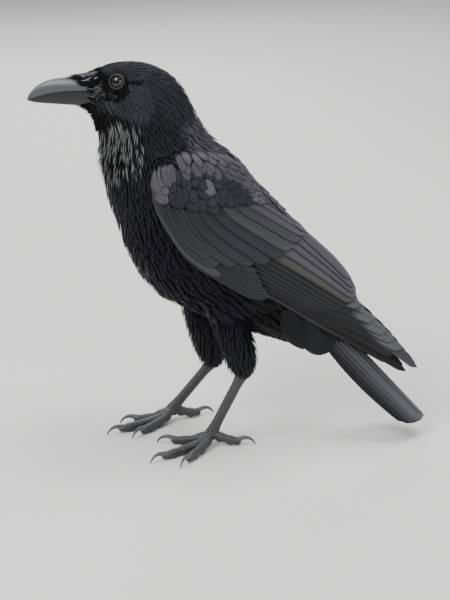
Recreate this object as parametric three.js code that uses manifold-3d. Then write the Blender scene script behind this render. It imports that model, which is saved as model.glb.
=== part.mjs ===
// A crow standing at rest, life size, in millimetres. It faces -Y, its left side is +X and +Z is up.
// The origin is on the floor under the middle of its bounding box.
import * as THREE from 'three';
import { mergeVertices } from 'three/addons/utils/BufferGeometryUtils.js';
import Module from 'manifold-3d';

const wasm = await Module();
wasm.setup();

// Driving dimensions
const gap = 0.3; // clear space between neighbouring solids
const ringPoints = 24; // points round a section of the body
const headFullness = 0.22; // how much wider the head is high up than low down
const bodyFullness = -0.05; // the same for the body, which is a little wider low down
const fullnessEnd = 9; // row of the body's table where one has turned into the other
const eyeRadius = 7;
const eyePlace = new THREE.Vector3(13.6, -87.5, 319.6);

const billBase = -109.5; // Y of the plane where the bill leaves the face
const billLength = 54.5;
const billHalfWidth = 9;
const billTipHalfWidth = 0.5;
const billTip = 301.2; // height of the tip
const culmenRise = 19.3; // from the tip to the ridge at the base
const gape = 310.3; // height of the cutting edges at the base
const gapeDrop = 9.8; // how far the cutting edges come down to the tip
const lowerBillReach = 0.955; // of the upper bill's length
const lowerBillWidth = 0.93; // of the upper bill's width
const chin = 296.4; // height of the lower bill's keel at the base
const chinRise = 3.2;
const bristleReach = 23; // how far the nasal bristles lie forward over the bill
const bristleFoot = 313.5; // height of their lower edge
const bristleDepth = 4.2; // over the bill at its base
const bristleEndDepth = 0.9;

const wingSlope = THREE.MathUtils.degToRad(37.2); // how steeply the folded wing runs down
const wingStart = new THREE.Vector3(0, -63, 236); // the bend of the folded wing
const tailRoot = new THREE.Vector3(0, 95, 106);
const tailSlope = THREE.MathUtils.degToRad(48);
const tailLength = 119;
const tailEndRadius = 26; // how far the rounded end reaches back at its sides
const tailArcPoints = 6; // points over each side of the tail's arch

const legSpread = 27.5; // from the midline to each foot
const thighHalfWidth = 13;
const thighHalfDepth = 14.6;
const tarsusHalfWidth = 3.1;
const tarsusHalfDepth = 4.1;
const ankleSwell = 0.3; // how much the tarsus stands out at its upper end
const toeRadius = 4.2; // at the base of a toe
const toeTipRadius = 3.5;
const toePadSwell = 0.13; // how much a pad stands out from its toe
const padLength = 11;
const clawLength = 14;
const clawRadius = 2.2;
const clawTipRadius = 0.4;
const toeHeights = [[9, 7.4], [19, 4.2]]; // middle of the toe: distance from the foot, height
const toeEndHeight = 3.8;
const clawHeights = [[0.8, 5.6], [6, 7], [11, 5.4]]; // middle of the claw: distance from the toe, height
const clawTipHeight = 1.1;

// Sections of the body from the bill to the tail. Each one runs from a point on the line of
// the back to a point on the line of the throat, breast and belly.
const body = [
  { name: 'bill base', backY: -109.3, backZ: 324, frontY: -109.5, frontZ: 296, half: 12 },
  { name: 'forehead', backY: -99, backZ: 330.5, frontY: -110.5, frontZ: 290.5, half: 17 },
  { name: 'eyes', backY: -88, backZ: 333, frontY: -109.5, frontZ: 285.5, half: 19.5 },
  { name: 'crown', backY: -74, backZ: 333.5, frontY: -108, frontZ: 280, half: 21 },
  { name: 'hind crown', backY: -60, backZ: 331, frontY: -107, frontZ: 274.5, half: 22 },
  { name: 'nape', backY: -47, backZ: 324.5, frontY: -106, frontZ: 268.5, half: 23.5 },
  { name: 'hind neck', backY: -35.5, backZ: 313.5, frontY: -105, frontZ: 261, half: 26 },
  { name: 'middle of the neck', backY: -26.5, backZ: 296, frontY: -104.5, frontZ: 248, half: 31.5 },
  { name: 'foot of the neck', backY: -16, backZ: 276, frontY: -102.5, frontZ: 231.5, half: 38 },
  { name: 'shoulders', backY: -1.5, backZ: 260, frontY: -99, frontZ: 214, half: 43.5 },
  { name: 'breast', backY: 12, backZ: 244, frontY: -91.5, frontZ: 193.5, half: 46 },
  { name: 'middle', backY: 25, backZ: 226, frontY: -84.5, frontZ: 170.5, half: 46 },
  { name: 'belly', backY: 37, backZ: 204, frontY: -74.5, frontZ: 149.5, half: 44 },
  { name: 'hind belly', backY: 53, backZ: 183, frontY: -57.5, frontZ: 130, half: 40 },
  { name: 'vent', backY: 70, backZ: 163, frontY: -30, frontZ: 115.5, half: 33 },
  { name: 'rump', backY: 89, backZ: 135, frontY: 0, frontZ: 102, half: 25.5 },
  { name: 'under tail', backY: 102, backZ: 108, frontY: 37, frontZ: 92, half: 17.5 },
  { name: 'tail base', backY: 107, backZ: 90, frontY: 75, frontZ: 78, half: 13 },
];
const headEnd = 4.5; // rows of the table where one part of the body meets the next
const neckEnd = 8;
const breastEnd = 11;
const bellyEnd = 14;

// Sections of the folded left wing. "along" runs from the bend to the tips, "up" is square to it.
const wing = [
  { along: -7, top: 24, low: 15, topX: 37, lowX: 40.5, thick: 5 },
  { along: -4, top: 31, low: 6, topX: 33.5, lowX: 44, thick: 8 },
  { along: 5, top: 41, low: -4.5, topX: 29, lowX: 47.5, thick: 10 },
  { along: 20, top: 49, low: -12.5, topX: 21, lowX: 50, thick: 11 },
  { along: 38, top: 54, low: -20.5, topX: 12, lowX: 50.5, thick: 11 },
  { along: 57, top: 53, low: -27.5, topX: 6, lowX: 50, thick: 11 },
  { along: 75, top: 48, low: -27.5, topX: 3, lowX: 49, thick: 11 },
  { along: 100, top: 44, low: -25.5, topX: 2, lowX: 46, thick: 10 },
  { along: 125, top: 40.5, low: -26, topX: 2, lowX: 41, thick: 8 },
  { along: 146, top: 38.5, low: -14.5, topX: 2, lowX: 36, thick: 6 },
  { along: 170, top: 36, low: -11.2, topX: 2, lowX: 31, thick: 4 },
  { along: 188, top: 31.5, low: -11.2, topX: 2, lowX: 27.5, thick: 3 },
  { along: 199, top: 26.5, low: -11, topX: 3, lowX: 25, thick: 2.6 },
  { along: 210, top: 19, low: -11, topX: 4, lowX: 22.5, thick: 2.4 },
  { along: 230, top: 16.8, low: -10.8, topX: 5, lowX: 19, thick: 2.2 },
  { along: 254, top: 13.5, low: -10.3, topX: 6, lowX: 15.5, thick: 2 },
  { along: 276, top: 8.5, low: -9.8, topX: 7, lowX: 12.5, thick: 1.6 },
  { along: 287, top: 2.5, low: -5, topX: 8, lowX: 11, thick: 1.2 },
];
const wingArcPoints = 6;
const wingTuck = THREE.MathUtils.degToRad(100); // how far the section turns down and in
const wingEdge = 0.45; // thickness at the section's two edges, of that in its middle
const covertsEnd = 97; // along the wing
const scapularsLow = 33; // up the wing
const primariesLine = { start: 0, end: 18, reach: 110 }; // between primaries and secondaries
const fingerNotch = [[277, -50], [281, -6], [275, -1]]; // between the two longest primaries' tips
const wingBox = { front: -20, back: 300, low: -50, high: 90 }; // room round the whole folded wing

// Catmull-Rom value of one column of a table at a fractional row.
function smooth(table, key, row) {
  const last = table.length - 1;
  const i = Math.min(Math.floor(row), last - 1);
  const f = row - i;
  const value = (k) => table[THREE.MathUtils.clamp(k, 0, last)][key];
  const [a, b, c, d] = [value(i - 1), value(i), value(i + 1), value(i + 2)];
  const slopeB = (c - a) / 2;
  const slopeC = (d - b) / 2;
  const lift = 3 * (c - b) - 2 * slopeB - slopeC;
  const bend = 2 * (b - c) + slopeB + slopeC;
  return b + slopeB * f + lift * f * f + bend * f * f * f;
}

// Closed surface through rings of points, each ring flat and with an even number of points.
function loft(rings) {
  const count = rings[0].length;
  const points = rings.flat();
  const index = [];
  const quad = (a, b, c, d) => index.push(a, b, c, a, c, d);
  for (let r = 0; r < rings.length - 1; r += 1) {
    for (let i = 0; i < count; i += 1) {
      const j = (i + 1) % count;
      quad(r * count + i, r * count + j, (r + 1) * count + j, (r + 1) * count + i);
    }
  }
  const end = (rings.length - 1) * count;
  for (let i = 0; i < count / 2 - 1; i += 1) {
    quad(i, count - 1 - i, count - 2 - i, i + 1);
    quad(end + i, end + i + 1, end + count - 2 - i, end + count - 1 - i);
  }
  let volume = 0;
  for (let i = 0; i < index.length; i += 3) {
    const [a, b, c] = [points[index[i]], points[index[i + 1]], points[index[i + 2]]];
    volume += a.dot(b.clone().cross(c)) / 6;
  }
  if (volume < 0) {
    index.reverse();
  }
  const geometry = new THREE.BufferGeometry();
  const values = points.flatMap((point) => point.toArray());
  geometry.setAttribute('position', new THREE.Float32BufferAttribute(values, 3));
  geometry.setIndex(index);
  return geometry;
}

function solidOf(geometry) {
  const bare = geometry.clone();
  bare.deleteAttribute('normal');
  bare.deleteAttribute('uv');
  const merged = mergeVertices(bare, 1e-4);
  const vertProperties = Float32Array.from(merged.attributes.position.array);
  const triVerts = Uint32Array.from(merged.index.array);
  return new wasm.Manifold(new wasm.Mesh({ numProp: 3, vertProperties, triVerts }));
}

function geometryOf(solid) {
  const mesh = solid.getMesh();
  const geometry = new THREE.BufferGeometry();
  geometry.setAttribute('position', new THREE.BufferAttribute(mesh.vertProperties, 3));
  geometry.setIndex(new THREE.BufferAttribute(mesh.triVerts, 1));
  return geometry;
}

// The same shape on the bird's other side.
function mirrored(geometry) {
  const other = geometry.clone().scale(-1, 1, 1);
  other.setIndex(Array.from(geometry.index.array).reverse());
  return other;
}

// Ring of a body section, grown outwards by "grow".
function bodyRing(row, grow = 0, shift = 0) {
  const back = new THREE.Vector3(0, smooth(body, 'backY', row), smooth(body, 'backZ', row));
  const front = new THREE.Vector3(0, smooth(body, 'frontY', row), smooth(body, 'frontZ', row));
  const half = smooth(body, 'half', row) + grow;
  const up = back.clone().sub(front).normalize();
  const aft = new THREE.Vector3(1, 0, 0).cross(up);
  const depth = back.distanceTo(front) / 2 + grow;
  const centre = back.add(front).multiplyScalar(0.5).addScaledVector(aft, -shift);
  const along = Math.min(row / fullnessEnd, 1);
  const fullness = THREE.MathUtils.lerp(headFullness + bodyFullness, bodyFullness, along);
  return Array.from({ length: ringPoints }, (_, i) => {
    const angle = ((i + 0.5) / ringPoints) * 2 * Math.PI;
    const side = Math.sin(angle) * (1 + fullness * Math.cos(angle));
    return centre.clone().addScaledVector(up, Math.cos(angle) * depth).setX(side * half);
  });
}

// Rows of the table of the body where a section is built: close together on the head.
function bodyRows(start, end) {
  const rows = [start];
  while (rows.at(-1) < end) {
    const step = rows.at(-1) < neckEnd ? 0.5 : 1;
    rows.push(Math.min(rows.at(-1) + step, end));
  }
  return rows;
}

// One length of the body, between two rows of its table, half a gap short at each cut.
function bodyLength(start, end) {
  return loft(bodyRows(start, end).map((row) => {
    const shift = row === start ? gap / 2 : 0;
    return bodyRing(row, 0, row === end ? -gap / 2 : shift);
  }));
}

function wholeBody(grow) {
  return loft(bodyRows(0, body.length - 1).map((row) => bodyRing(row, grow)));
}

// Surface swept along a curve. "size" gives the half width along "across" and the half depth.
function sweep(curve, steps, across, size, points = 12) {
  const rings = [];
  for (let i = 0; i <= steps; i += 1) {
    const centre = curve.getPoint(i / steps);
    const tangent = curve.getTangent(i / steps);
    const side = across.clone().addScaledVector(tangent, -across.dot(tangent)).normalize();
    const normal = tangent.clone().cross(side);
    const [wide, deep] = size(i / steps);
    rings.push(Array.from({ length: points }, (_, k) => {
      const angle = ((k + 0.5) / points) * 2 * Math.PI;
      const point = centre.clone().addScaledVector(side, wide * Math.cos(angle));
      return point.addScaledVector(normal, deep * Math.sin(angle));
    }));
  }
  return loft(rings);
}

const bird = new THREE.Group();

function addPiece(name, geometry, colour, roughness) {
  const material = new THREE.MeshStandardMaterial({ color: colour, roughness, metalness: 0 });
  const piece = new THREE.Mesh(geometry, material);
  piece.name = name;
  bird.add(piece);
}

const plumageColour = 0x232327;
const wingColour = 0x34343a;
const tailColour = 0x2b2c31;
const bristleColour = 0x18181b;
const billColour = 0x5a5a60;
const legColour = 0x55555a;
const clawColour = 0x2a2a2c;
const eyeColour = 0x120d0b;

// Cutters: the body with its clearance, and everything above the floor.
const bodyClearance = solidOf(wholeBody(gap));
const roomSize = 400;
const room = new THREE.BoxGeometry(roomSize, roomSize, roomSize);
const aboveFloor = solidOf(room.translate(0, 0, roomSize / 2));

// Body and eyes
function addBody() {
  let head = solidOf(bodyLength(0, headEnd));
  const socket = new THREE.SphereGeometry(eyeRadius + gap, 14, 10);
  const eye = new THREE.SphereGeometry(eyeRadius, 14, 10);
  for (const [name, side] of [['left', 1], ['right', -1]]) {
    const place = eyePlace.clone().setX(eyePlace.x * side);
    head = head.subtract(solidOf(socket.clone().translate(place.x, place.y, place.z)));
    addPiece(`eye_${name}`, eye.clone().translate(place.x, place.y, place.z), eyeColour, 0.15);
  }
  addPiece('head', geometryOf(head), plumageColour, 0.7);
  addPiece('neck', bodyLength(headEnd, neckEnd), plumageColour, 0.7);
  addPiece('breast', bodyLength(neckEnd, breastEnd), plumageColour, 0.7);
  addPiece('belly', bodyLength(breastEnd, bellyEnd), plumageColour, 0.75);
  addPiece('rump', bodyLength(bellyEnd, body.length - 1), plumageColour, 0.75);
}

// Profiles of the bill, from its base at 0 to its tip at 1
const culmen = (s) => billTip + culmenRise * (1 - s ** 4) ** 0.72;
const cuttingEdge = (s) => gape - gapeDrop * s ** 2.8;
const keel = (s) => chin + chinRise * s ** 1.5;
const billWidth = (s) => billTipHalfWidth + (billHalfWidth - billTipHalfWidth) * (1 - s) ** 0.6;

// Half-round ring of the bill: flat on the cutting edge, arched away from it.
function billRing(y, halfWidth, edge, ridge, points = 10) {
  return Array.from({ length: points }, (_, i) => {
    const angle = (i / (points - 1)) * Math.PI;
    const height = edge + (ridge - edge) * Math.sin(angle) ** 0.85;
    return new THREE.Vector3(halfWidth * Math.cos(angle), y, height);
  });
}

function billLoft(from, to, ring, steps = 9) {
  return loft(Array.from({ length: steps + 1 }, (_, i) => {
    const s = THREE.MathUtils.lerp(from, to, 1 - (1 - i / steps) ** 1.4);
    return ring(s, billBase - s * billLength);
  }));
}

function addBill() {
  const upper = (grow) => billLoft(-grow / billLength, 1, (s, y) => {
    const halfWidth = billWidth(Math.max(s, 0)) + grow;
    return billRing(y - gap, halfWidth, cuttingEdge(Math.abs(s)) - grow, culmen(s) + grow);
  });
  const lower = billLoft(0, lowerBillReach, (s, y) =>
    billRing(y - gap, billWidth(s) * lowerBillWidth, cuttingEdge(s) - gap, keel(s)));
  const bristles = billLoft(0, bristleReach / billLength, (s, y) => {
    const depth = THREE.MathUtils.lerp(bristleDepth, bristleEndDepth, (s * billLength) / bristleReach);
    return billRing(y - gap, billWidth(s) + depth * 0.9, bristleFoot, culmen(s) + depth);
  });
  const bristlesOverBill = solidOf(bristles).subtract(solidOf(upper(gap)));
  addPiece('bill_upper', upper(0), billColour, 0.4);
  addPiece('bill_lower', lower, billColour, 0.45);
  addPiece('nasal_bristles', geometryOf(bristlesOverBill), bristleColour, 0.8);
}

// Frame that runs down and back from a point: X along the slope, Y square to it, Z to the left.
function slopedFrame(start, slope) {
  const along = new THREE.Vector3(0, Math.cos(slope), -Math.sin(slope));
  const up = new THREE.Vector3(0, Math.sin(slope), Math.cos(slope));
  return new THREE.Matrix4().makeBasis(along, up, new THREE.Vector3(1, 0, 0)).setPosition(start);
}

// Wings: built along the slope of the folded wing, then turned into place.
const wingFrame = slopedFrame(wingStart, wingSlope);

function wingRing(row) {
  const at = (key) => smooth(wing, key, row);
  const [along, top, low, topX, lowX, thick] = ['along', 'top', 'low', 'topX', 'lowX', 'thick'].map(at);
  const outer = [];
  const inner = [];
  for (let i = 0; i <= wingArcPoints; i += 1) {
    const angle = (i / wingArcPoints) * wingTuck;
    const drop = (Math.cos(angle) - Math.cos(wingTuck)) / (1 - Math.cos(wingTuck));
    const bulge = Math.sin(angle);
    const point = new THREE.Vector3(along, low + (top - low) * drop, topX + (lowX - topX) * bulge);
    const inward = new THREE.Vector3(0, -Math.cos(angle) * (lowX - topX), -bulge * (top - low));
    const depth = THREE.MathUtils.lerp(wingEdge, 1, Math.sin((i / wingArcPoints) * Math.PI)) * thick;
    outer.push(point);
    inner.push(point.clone().addScaledVector(inward.normalize(), depth));
  }
  return [...outer, ...inner.reverse()];
}

// Region of the folded wing seen from the side, as a block right through it.
function wingRegion(outline) {
  const shape = new THREE.Shape(outline.map(([along, up]) => new THREE.Vector2(along, up)));
  const block = new THREE.ExtrudeGeometry(shape, { depth: 90, bevelEnabled: false });
  return solidOf(block.applyMatrix4(wingFrame));
}

function addWings() {
  const rings = [];
  for (let row = 0; row <= wing.length - 1; row += 1) {
    rings.push(wingRing(row));
  }
  const whole = solidOf(loft(rings).applyMatrix4(wingFrame)).subtract(bodyClearance);
  const line = primariesLine;
  const { front, back, low, high } = wingBox;
  const hindStart = covertsEnd + gap;
  const lineEnd = covertsEnd + line.reach;
  const regions = {
    scapulars: [
      [front, scapularsLow + gap],
      [covertsEnd, scapularsLow + gap],
      [covertsEnd, high],
      [front, high],
    ],
    wing_coverts: [
      [front, low],
      [covertsEnd, low],
      [covertsEnd, scapularsLow],
      [front, scapularsLow],
    ],
    wing_secondaries: [
      [hindStart, line.start + gap],
      [lineEnd, line.end + gap],
      [back, line.end + gap],
      [back, high],
      [hindStart, high],
    ],
    wing_primaries: [
      [hindStart, low],
      ...fingerNotch,
      [back, fingerNotch.at(-1)[1]],
      [back, line.end],
      [lineEnd, line.end],
      [hindStart, line.start],
    ],
  };
  for (const [name, outline] of Object.entries(regions)) {
    const geometry = geometryOf(whole.intersect(wingRegion(outline)));
    addPiece(`${name}_left`, geometry, wingColour, 0.6);
    addPiece(`${name}_right`, mirrored(geometry), wingColour, 0.6);
  }
}

// Tail: an arched stack of feathers with a rounded end.
const tail = [
  { along: 0, half: 14, arch: 11, thick: 9 },
  { along: 0.25, half: 20, arch: 18, thick: 7 },
  { along: 0.5, half: 23.5, arch: 19, thick: 5 },
  { along: 0.75, half: 25, arch: 16.5, thick: 3.2 },
  { along: 1, half: 25, arch: 11.5, thick: 1.8 },
];

function addTail() {
  const frame = slopedFrame(tailRoot, tailSlope);
  const rings = [];
  for (let row = 0; row <= tail.length - 1; row += 0.5) {
    const at = (key) => smooth(tail, key, row);
    const [along, half, arch, thick] = ['along', 'half', 'arch', 'thick'].map(at);
    const outer = [];
    const inner = [];
    for (let k = -tailArcPoints; k <= tailArcPoints; k += 1) {
      const f = k / tailArcPoints;
      const tuck = tailEndRadius * (1 - Math.sqrt(1 - 0.8 * f * f)) * along;
      const point = new THREE.Vector3(along * tailLength - tuck, -arch * Math.abs(f) ** 1.6, half * f);
      outer.push(point);
      inner.push(point.clone().setY(point.y - thick * (1 - 0.6 * f * f)));
    }
    rings.push([...outer, ...inner.reverse()]);
  }
  const solid = solidOf(loft(rings).applyMatrix4(frame)).subtract(bodyClearance);
  addPiece('tail', geometryOf(solid), tailColour, 0.6);
}

// Legs
const legs = {
  left: {
    thigh: [[13, -8, 134], [20, 2, 116], [24.5, 10, 95], [27, 14.6, 76], [27.5, 13.5, 63]],
    foot: [legSpread, -11.5, 12.5],
    toes: { inner: [-4, 48], middle: [38, 66], outer: [62, 56], hind: [180, 38] },
  },
  right: {
    thigh: [[-13, -26, 126], [-19.5, -21.5, 107], [-24, -16, 85], [-27, -11.5, 64], [-27.5, -14, 51.5]],
    foot: [-legSpread, -46.5, 12],
    toes: { outer: [12, 48], middle: [33, 68], inner: [52, 56], hind: [202, 39] },
  },
};

// Half width and half depth of the feathered thigh: it narrows fast over its lower half.
function thighSize(t) {
  const taper = 1.12 - 0.12 * t - 0.6 * Math.max(0, 2 * t - 1) ** 2.6;
  return [thighHalfWidth * taper, thighHalfDepth * taper];
}

function headed(heading) {
  const angle = THREE.MathUtils.degToRad(heading);
  return new THREE.Vector3(Math.sin(angle), -Math.cos(angle), 0);
}

// Upright wedge that holds one toe, between the lines halfway to the toes on either side of it.
function toeSector(foot, before, heading, after) {
  const apex = foot.clone().addScaledVector(headed(heading), 1);
  const corners = [(before + heading) / 2, heading, (heading + after) / 2].map((turn) =>
    apex.clone().addScaledVector(headed(turn), 150));
  const outline = [apex, ...corners].map((corner) => new THREE.Vector2(corner.x, corner.y));
  const wedge = new THREE.ExtrudeGeometry(new THREE.Shape(outline), { depth: 30, bevelEnabled: false });
  return solidOf(wedge);
}

// One toe and its claw. "heading" turns from straight ahead towards +X.
function toeShape(foot, heading, length) {
  const across = headed(heading + 90);
  const toeLength = length - clawLength;
  const place = (distance, height) => foot.clone().setZ(height).addScaledVector(headed(heading), distance);
  const pads = Math.round(toeLength / padLength);
  const toe = new THREE.CatmullRomCurve3([
    place(1, foot.z - 1.5),
    ...toeHeights.map(([distance, height]) => place(distance, height)),
    place(toeLength, toeEndHeight),
  ]);
  const size = (t) => {
    const radius = THREE.MathUtils.lerp(toeRadius, toeTipRadius, t);
    const swell = radius * (1 + toePadSwell * Math.cos(t * pads * 2 * Math.PI));
    return [swell, swell];
  };
  const claw = new THREE.CatmullRomCurve3([
    ...clawHeights.map(([distance, height]) => place(toeLength + distance, height)),
    place(length, clawTipHeight),
  ]);
  const taper = (t) => THREE.MathUtils.lerp(clawRadius, clawTipRadius, t ** 1.2);
  return {
    toe: solidOf(sweep(toe, pads * 3, across, size, 8)).intersect(aboveFloor),
    claw: sweep(claw, 5, across, (t) => [taper(t) * 0.8, taper(t)], 6),
  };
}

// The bare tarsus, from inside the thigh down to the foot. "grow" makes the socket round it.
function tarsusShape(foot, ankle, grow) {
  const upLeg = ankle.clone().sub(foot).normalize();
  const top = ankle.clone().addScaledVector(upLeg, grow);
  const bottom = foot.clone().addScaledVector(upLeg, -3);
  const shank = new THREE.CatmullRomCurve3([top, foot.clone().lerp(top, 0.5), bottom]);
  const size = (t) => {
    const swell = 1 + ankleSwell * Math.exp(-(((t - 0.95) / 0.08) ** 2));
    return [tarsusHalfWidth * swell + grow, tarsusHalfDepth * swell + grow];
  };
  return sweep(shank, 9, new THREE.Vector3(1, 0, 0), size, 10);
}

function addLegs() {
  for (const [name, leg] of Object.entries(legs)) {
    const foot = new THREE.Vector3(...leg.foot);
    const path = new THREE.CatmullRomCurve3(leg.thigh.map((point) => new THREE.Vector3(...point)));
    const ankle = path.getPoint(0.96);
    const wholeThigh = sweep(path, 8, new THREE.Vector3(1, 0, 0), thighSize, 14);
    const thigh = solidOf(wholeThigh).subtract(bodyClearance);
    const socket = solidOf(tarsusShape(foot, ankle, gap));
    addPiece(`thigh_${name}`, geometryOf(thigh.subtract(socket)), plumageColour, 0.75);
    addPiece(`tarsus_${name}`, tarsusShape(foot, ankle, 0), legColour, 0.55);
    const toes = Object.entries(leg.toes).sort((a, b) => a[1][0] - b[1][0]);
    toes.forEach(([toeName, [heading, length]], i) => {
      const before = i > 0 ? toes[i - 1][1][0] : toes.at(-1)[1][0] - 360;
      const after = i < toes.length - 1 ? toes[i + 1][1][0] : toes[0][1][0] + 360;
      const { toe, claw } = toeShape(foot, heading, length);
      const own = toe.intersect(toeSector(foot.clone().setZ(0), before, heading, after));
      addPiece(`toe_${toeName}_${name}`, geometryOf(own.subtract(socket)), legColour, 0.55);
      addPiece(`claw_${toeName}_${name}`, claw, clawColour, 0.35);
    });
  }
}

addBody();
addBill();
addWings();
addTail();
addLegs();

// The origin goes under the middle of the bounding box. The toes that turn to the left put the
// bird's own midline a little to the right of it.
const bounds = new THREE.Box3().setFromObject(bird);
const middle = bounds.getCenter(new THREE.Vector3());
bird.position.set(-middle.x, -middle.y, -bounds.min.z);

const part = new THREE.Group();
part.add(bird);

export default part;
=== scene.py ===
import math

import bmesh
import bpy
import numpy as np
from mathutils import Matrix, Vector
from mathutils.bvhtree import BVHTree
from mathutils.kdtree import KDTree


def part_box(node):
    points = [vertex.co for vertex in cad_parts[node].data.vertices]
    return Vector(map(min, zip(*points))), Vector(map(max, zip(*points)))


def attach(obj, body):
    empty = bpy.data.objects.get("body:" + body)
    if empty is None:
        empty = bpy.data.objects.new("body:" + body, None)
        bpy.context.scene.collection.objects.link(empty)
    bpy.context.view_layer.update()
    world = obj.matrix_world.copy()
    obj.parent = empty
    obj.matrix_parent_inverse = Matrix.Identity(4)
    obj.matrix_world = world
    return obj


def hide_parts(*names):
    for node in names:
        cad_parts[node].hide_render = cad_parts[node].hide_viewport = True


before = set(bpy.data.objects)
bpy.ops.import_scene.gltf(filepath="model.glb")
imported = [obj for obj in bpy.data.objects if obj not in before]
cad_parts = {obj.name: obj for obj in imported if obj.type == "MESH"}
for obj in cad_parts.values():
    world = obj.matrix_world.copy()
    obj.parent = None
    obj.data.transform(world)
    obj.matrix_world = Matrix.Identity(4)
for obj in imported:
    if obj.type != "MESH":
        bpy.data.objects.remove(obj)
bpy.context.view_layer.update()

# Shapes are worked out in the bird's own millimetres: X to its left from the midline, -Y ahead, Z up.
mm = 0.001
billTip = -164.3
billLow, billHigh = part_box("bill_upper")
home = np.array([(billLow.x + billHigh.x) / 2, billLow.y - billTip * mm, 0])


def toFrame(points):
    return np.asarray(points) * mm + home


def toBird(points):
    return (np.asarray(points) - home) / mm


def unit(vectors):
    return vectors / np.maximum(np.linalg.norm(vectors, axis=-1, keepdims=True), 1e-9)


def ease(low, high, value):
    t = np.clip((value - low) / (high - low), 0, 1)
    return t * t * (3 - 2 * t)


def between(places, marks, table):
    # points of a table read off between its marks
    return np.stack([np.interp(places, marks, column) for column in np.array(table, float).T], axis=-1)


def stacked(*parts):
    # points of their coordinates
    return np.stack(np.broadcast_arrays(*parts), axis=-1).astype(float)


def tone(red, green, blue):
    # linear colour of a shade given from 0 to 255
    return tuple((c / 255) ** 2.2 for c in (red, green, blue))


def coordsOf(mesh):
    coords = np.empty(len(mesh.vertices) * 3)
    mesh.vertices.foreach_get("co", coords)
    return coords.reshape(-1, 3)


def placed(mesh, points=None):
    # puts a mesh, or the points given for it, from the bird's millimetres into the frame
    mesh.vertices.foreach_set("co", toFrame(coordsOf(mesh) if points is None else points).ravel())
    mesh.update()
    return mesh


def meshFrom(bm):
    mesh = bpy.data.meshes.new("shape")
    bm.to_mesh(mesh)
    bm.free()
    return mesh


def linked(name, data):
    thing = bpy.data.objects.new(name, data)
    bpy.context.scene.collection.objects.link(thing)
    return thing


def paintPoints(mesh, colours):
    layer = mesh.attributes.new("shade", "FLOAT_COLOR", "POINT")
    layer.data.foreach_set("color", np.column_stack([colours, np.ones(len(colours))]).ravel())


def finishPiece(name, mesh, material, slot, *replaced):
    piece = linked(name, mesh)
    mesh.materials.clear()
    mesh.materials.append(material)
    mesh.shade_smooth()
    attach(piece, "root")
    if replaced:
        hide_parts(*replaced)
    print(name, len(mesh.polygons), "faces")


def tubeOf(around, along, shape, stretch=1):
    # a grid bent by shape(u, v), its sides joined and its ends capped; its map is 1 wide and stretch long
    bm = bmesh.new()
    bmesh.ops.create_grid(bm, x_segments=around, y_segments=along, size=0.5)
    layer = bm.loops.layers.uv.new("lines")
    for face in bm.faces:
        for loop in face.loops:
            loop[layer].uv = (loop.vert.co.x + 0.5, (loop.vert.co.y + 0.5) * stretch)
    for vert in bm.verts:
        vert.co = shape(vert.co.x + 0.5, vert.co.y + 0.5)
    bmesh.ops.remove_doubles(bm, verts=bm.verts, dist=1e-4)
    bmesh.ops.holes_fill(bm, edges=[e for e in bm.edges if e.is_boundary], sides=0)
    bmesh.ops.recalc_face_normals(bm, faces=bm.faces)
    return meshFrom(bm)


def joined(meshes, weld=0):
    bm = bmesh.new()
    for mesh in meshes:
        bm.from_mesh(mesh)
    if weld:
        bmesh.ops.remove_doubles(bm, verts=bm.verts, dist=weld)
    return meshFrom(bm)


def cadCopy(nodes):
    return joined([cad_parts[node].data for node in nodes], 1e-6)


def treeOf(mesh):
    return BVHTree.FromPolygons(toBird(coordsOf(mesh)).tolist(), [tuple(p.vertices) for p in mesh.polygons])


# Lines of the back and of the throat and belly, as (Y, Z): feathers lie along them, from bill to tail
lie = {
    "back": [(-109, 324), (-99, 330.5), (-88, 333), (-74, 333.5), (-60, 331), (-47, 324.5), (-35.5, 313.5),
             (-26.5, 296), (-16, 276), (-1.5, 260), (12, 244), (25, 226), (37, 204), (53, 183), (70, 163),
             (89, 135), (102, 108), (112, 92)],
    "front": [(-109.5, 296), (-110.5, 290.5), (-109.5, 285.5), (-108, 280), (-107, 274.5), (-106, 268.5),
              (-105, 261), (-104.5, 248), (-102.5, 231.5), (-99, 214), (-91.5, 193.5), (-84.5, 170.5),
              (-74.5, 149.5), (-57.5, 130), (-30, 115.5), (0, 102), (37, 92), (85, 74)],
    "rungs": 86,
}
lastRow = len(lie["back"]) - 1
rungRows = np.linspace(0, lastRow, lie["rungs"])
backPoints, frontPoints = (between(rungRows, range(lastRow + 1), lie[key]) for key in ("back", "front"))
backWays, frontWays = (unit(np.gradient(points, axis=0)) for points in (backPoints, frontPoints))


def bodyPlace(points):
    # row along the body (0 bill to 17 tail) and depth (0 back to 1 front) of each point
    span = frontPoints - backPoints
    rows = np.empty(len(points))
    depths = np.empty(len(points))
    for start in range(0, len(points), 20000):
        part = points[start:start + 20000, None, 1:] - backPoints
        f = np.clip((part * span).sum(axis=2) / (span ** 2).sum(axis=1), 0, 1)
        best = ((part - f[..., None] * span) ** 2).sum(axis=2).argmin(axis=1)
        rows[start:start + 20000] = rungRows[best]
        depths[start:start + 20000] = f[np.arange(len(best)), best]
    return rows, depths


def bodyWay(points):
    # the way the coat lies on the body
    rows, depths = bodyPlace(points)
    ways = (between(rows, rungRows, backWays) * (1 - depths)[:, None]
            + between(rows, rungRows, frontWays) * depths[:, None])
    return unit(np.column_stack([np.zeros(len(points)), ways]))


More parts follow.
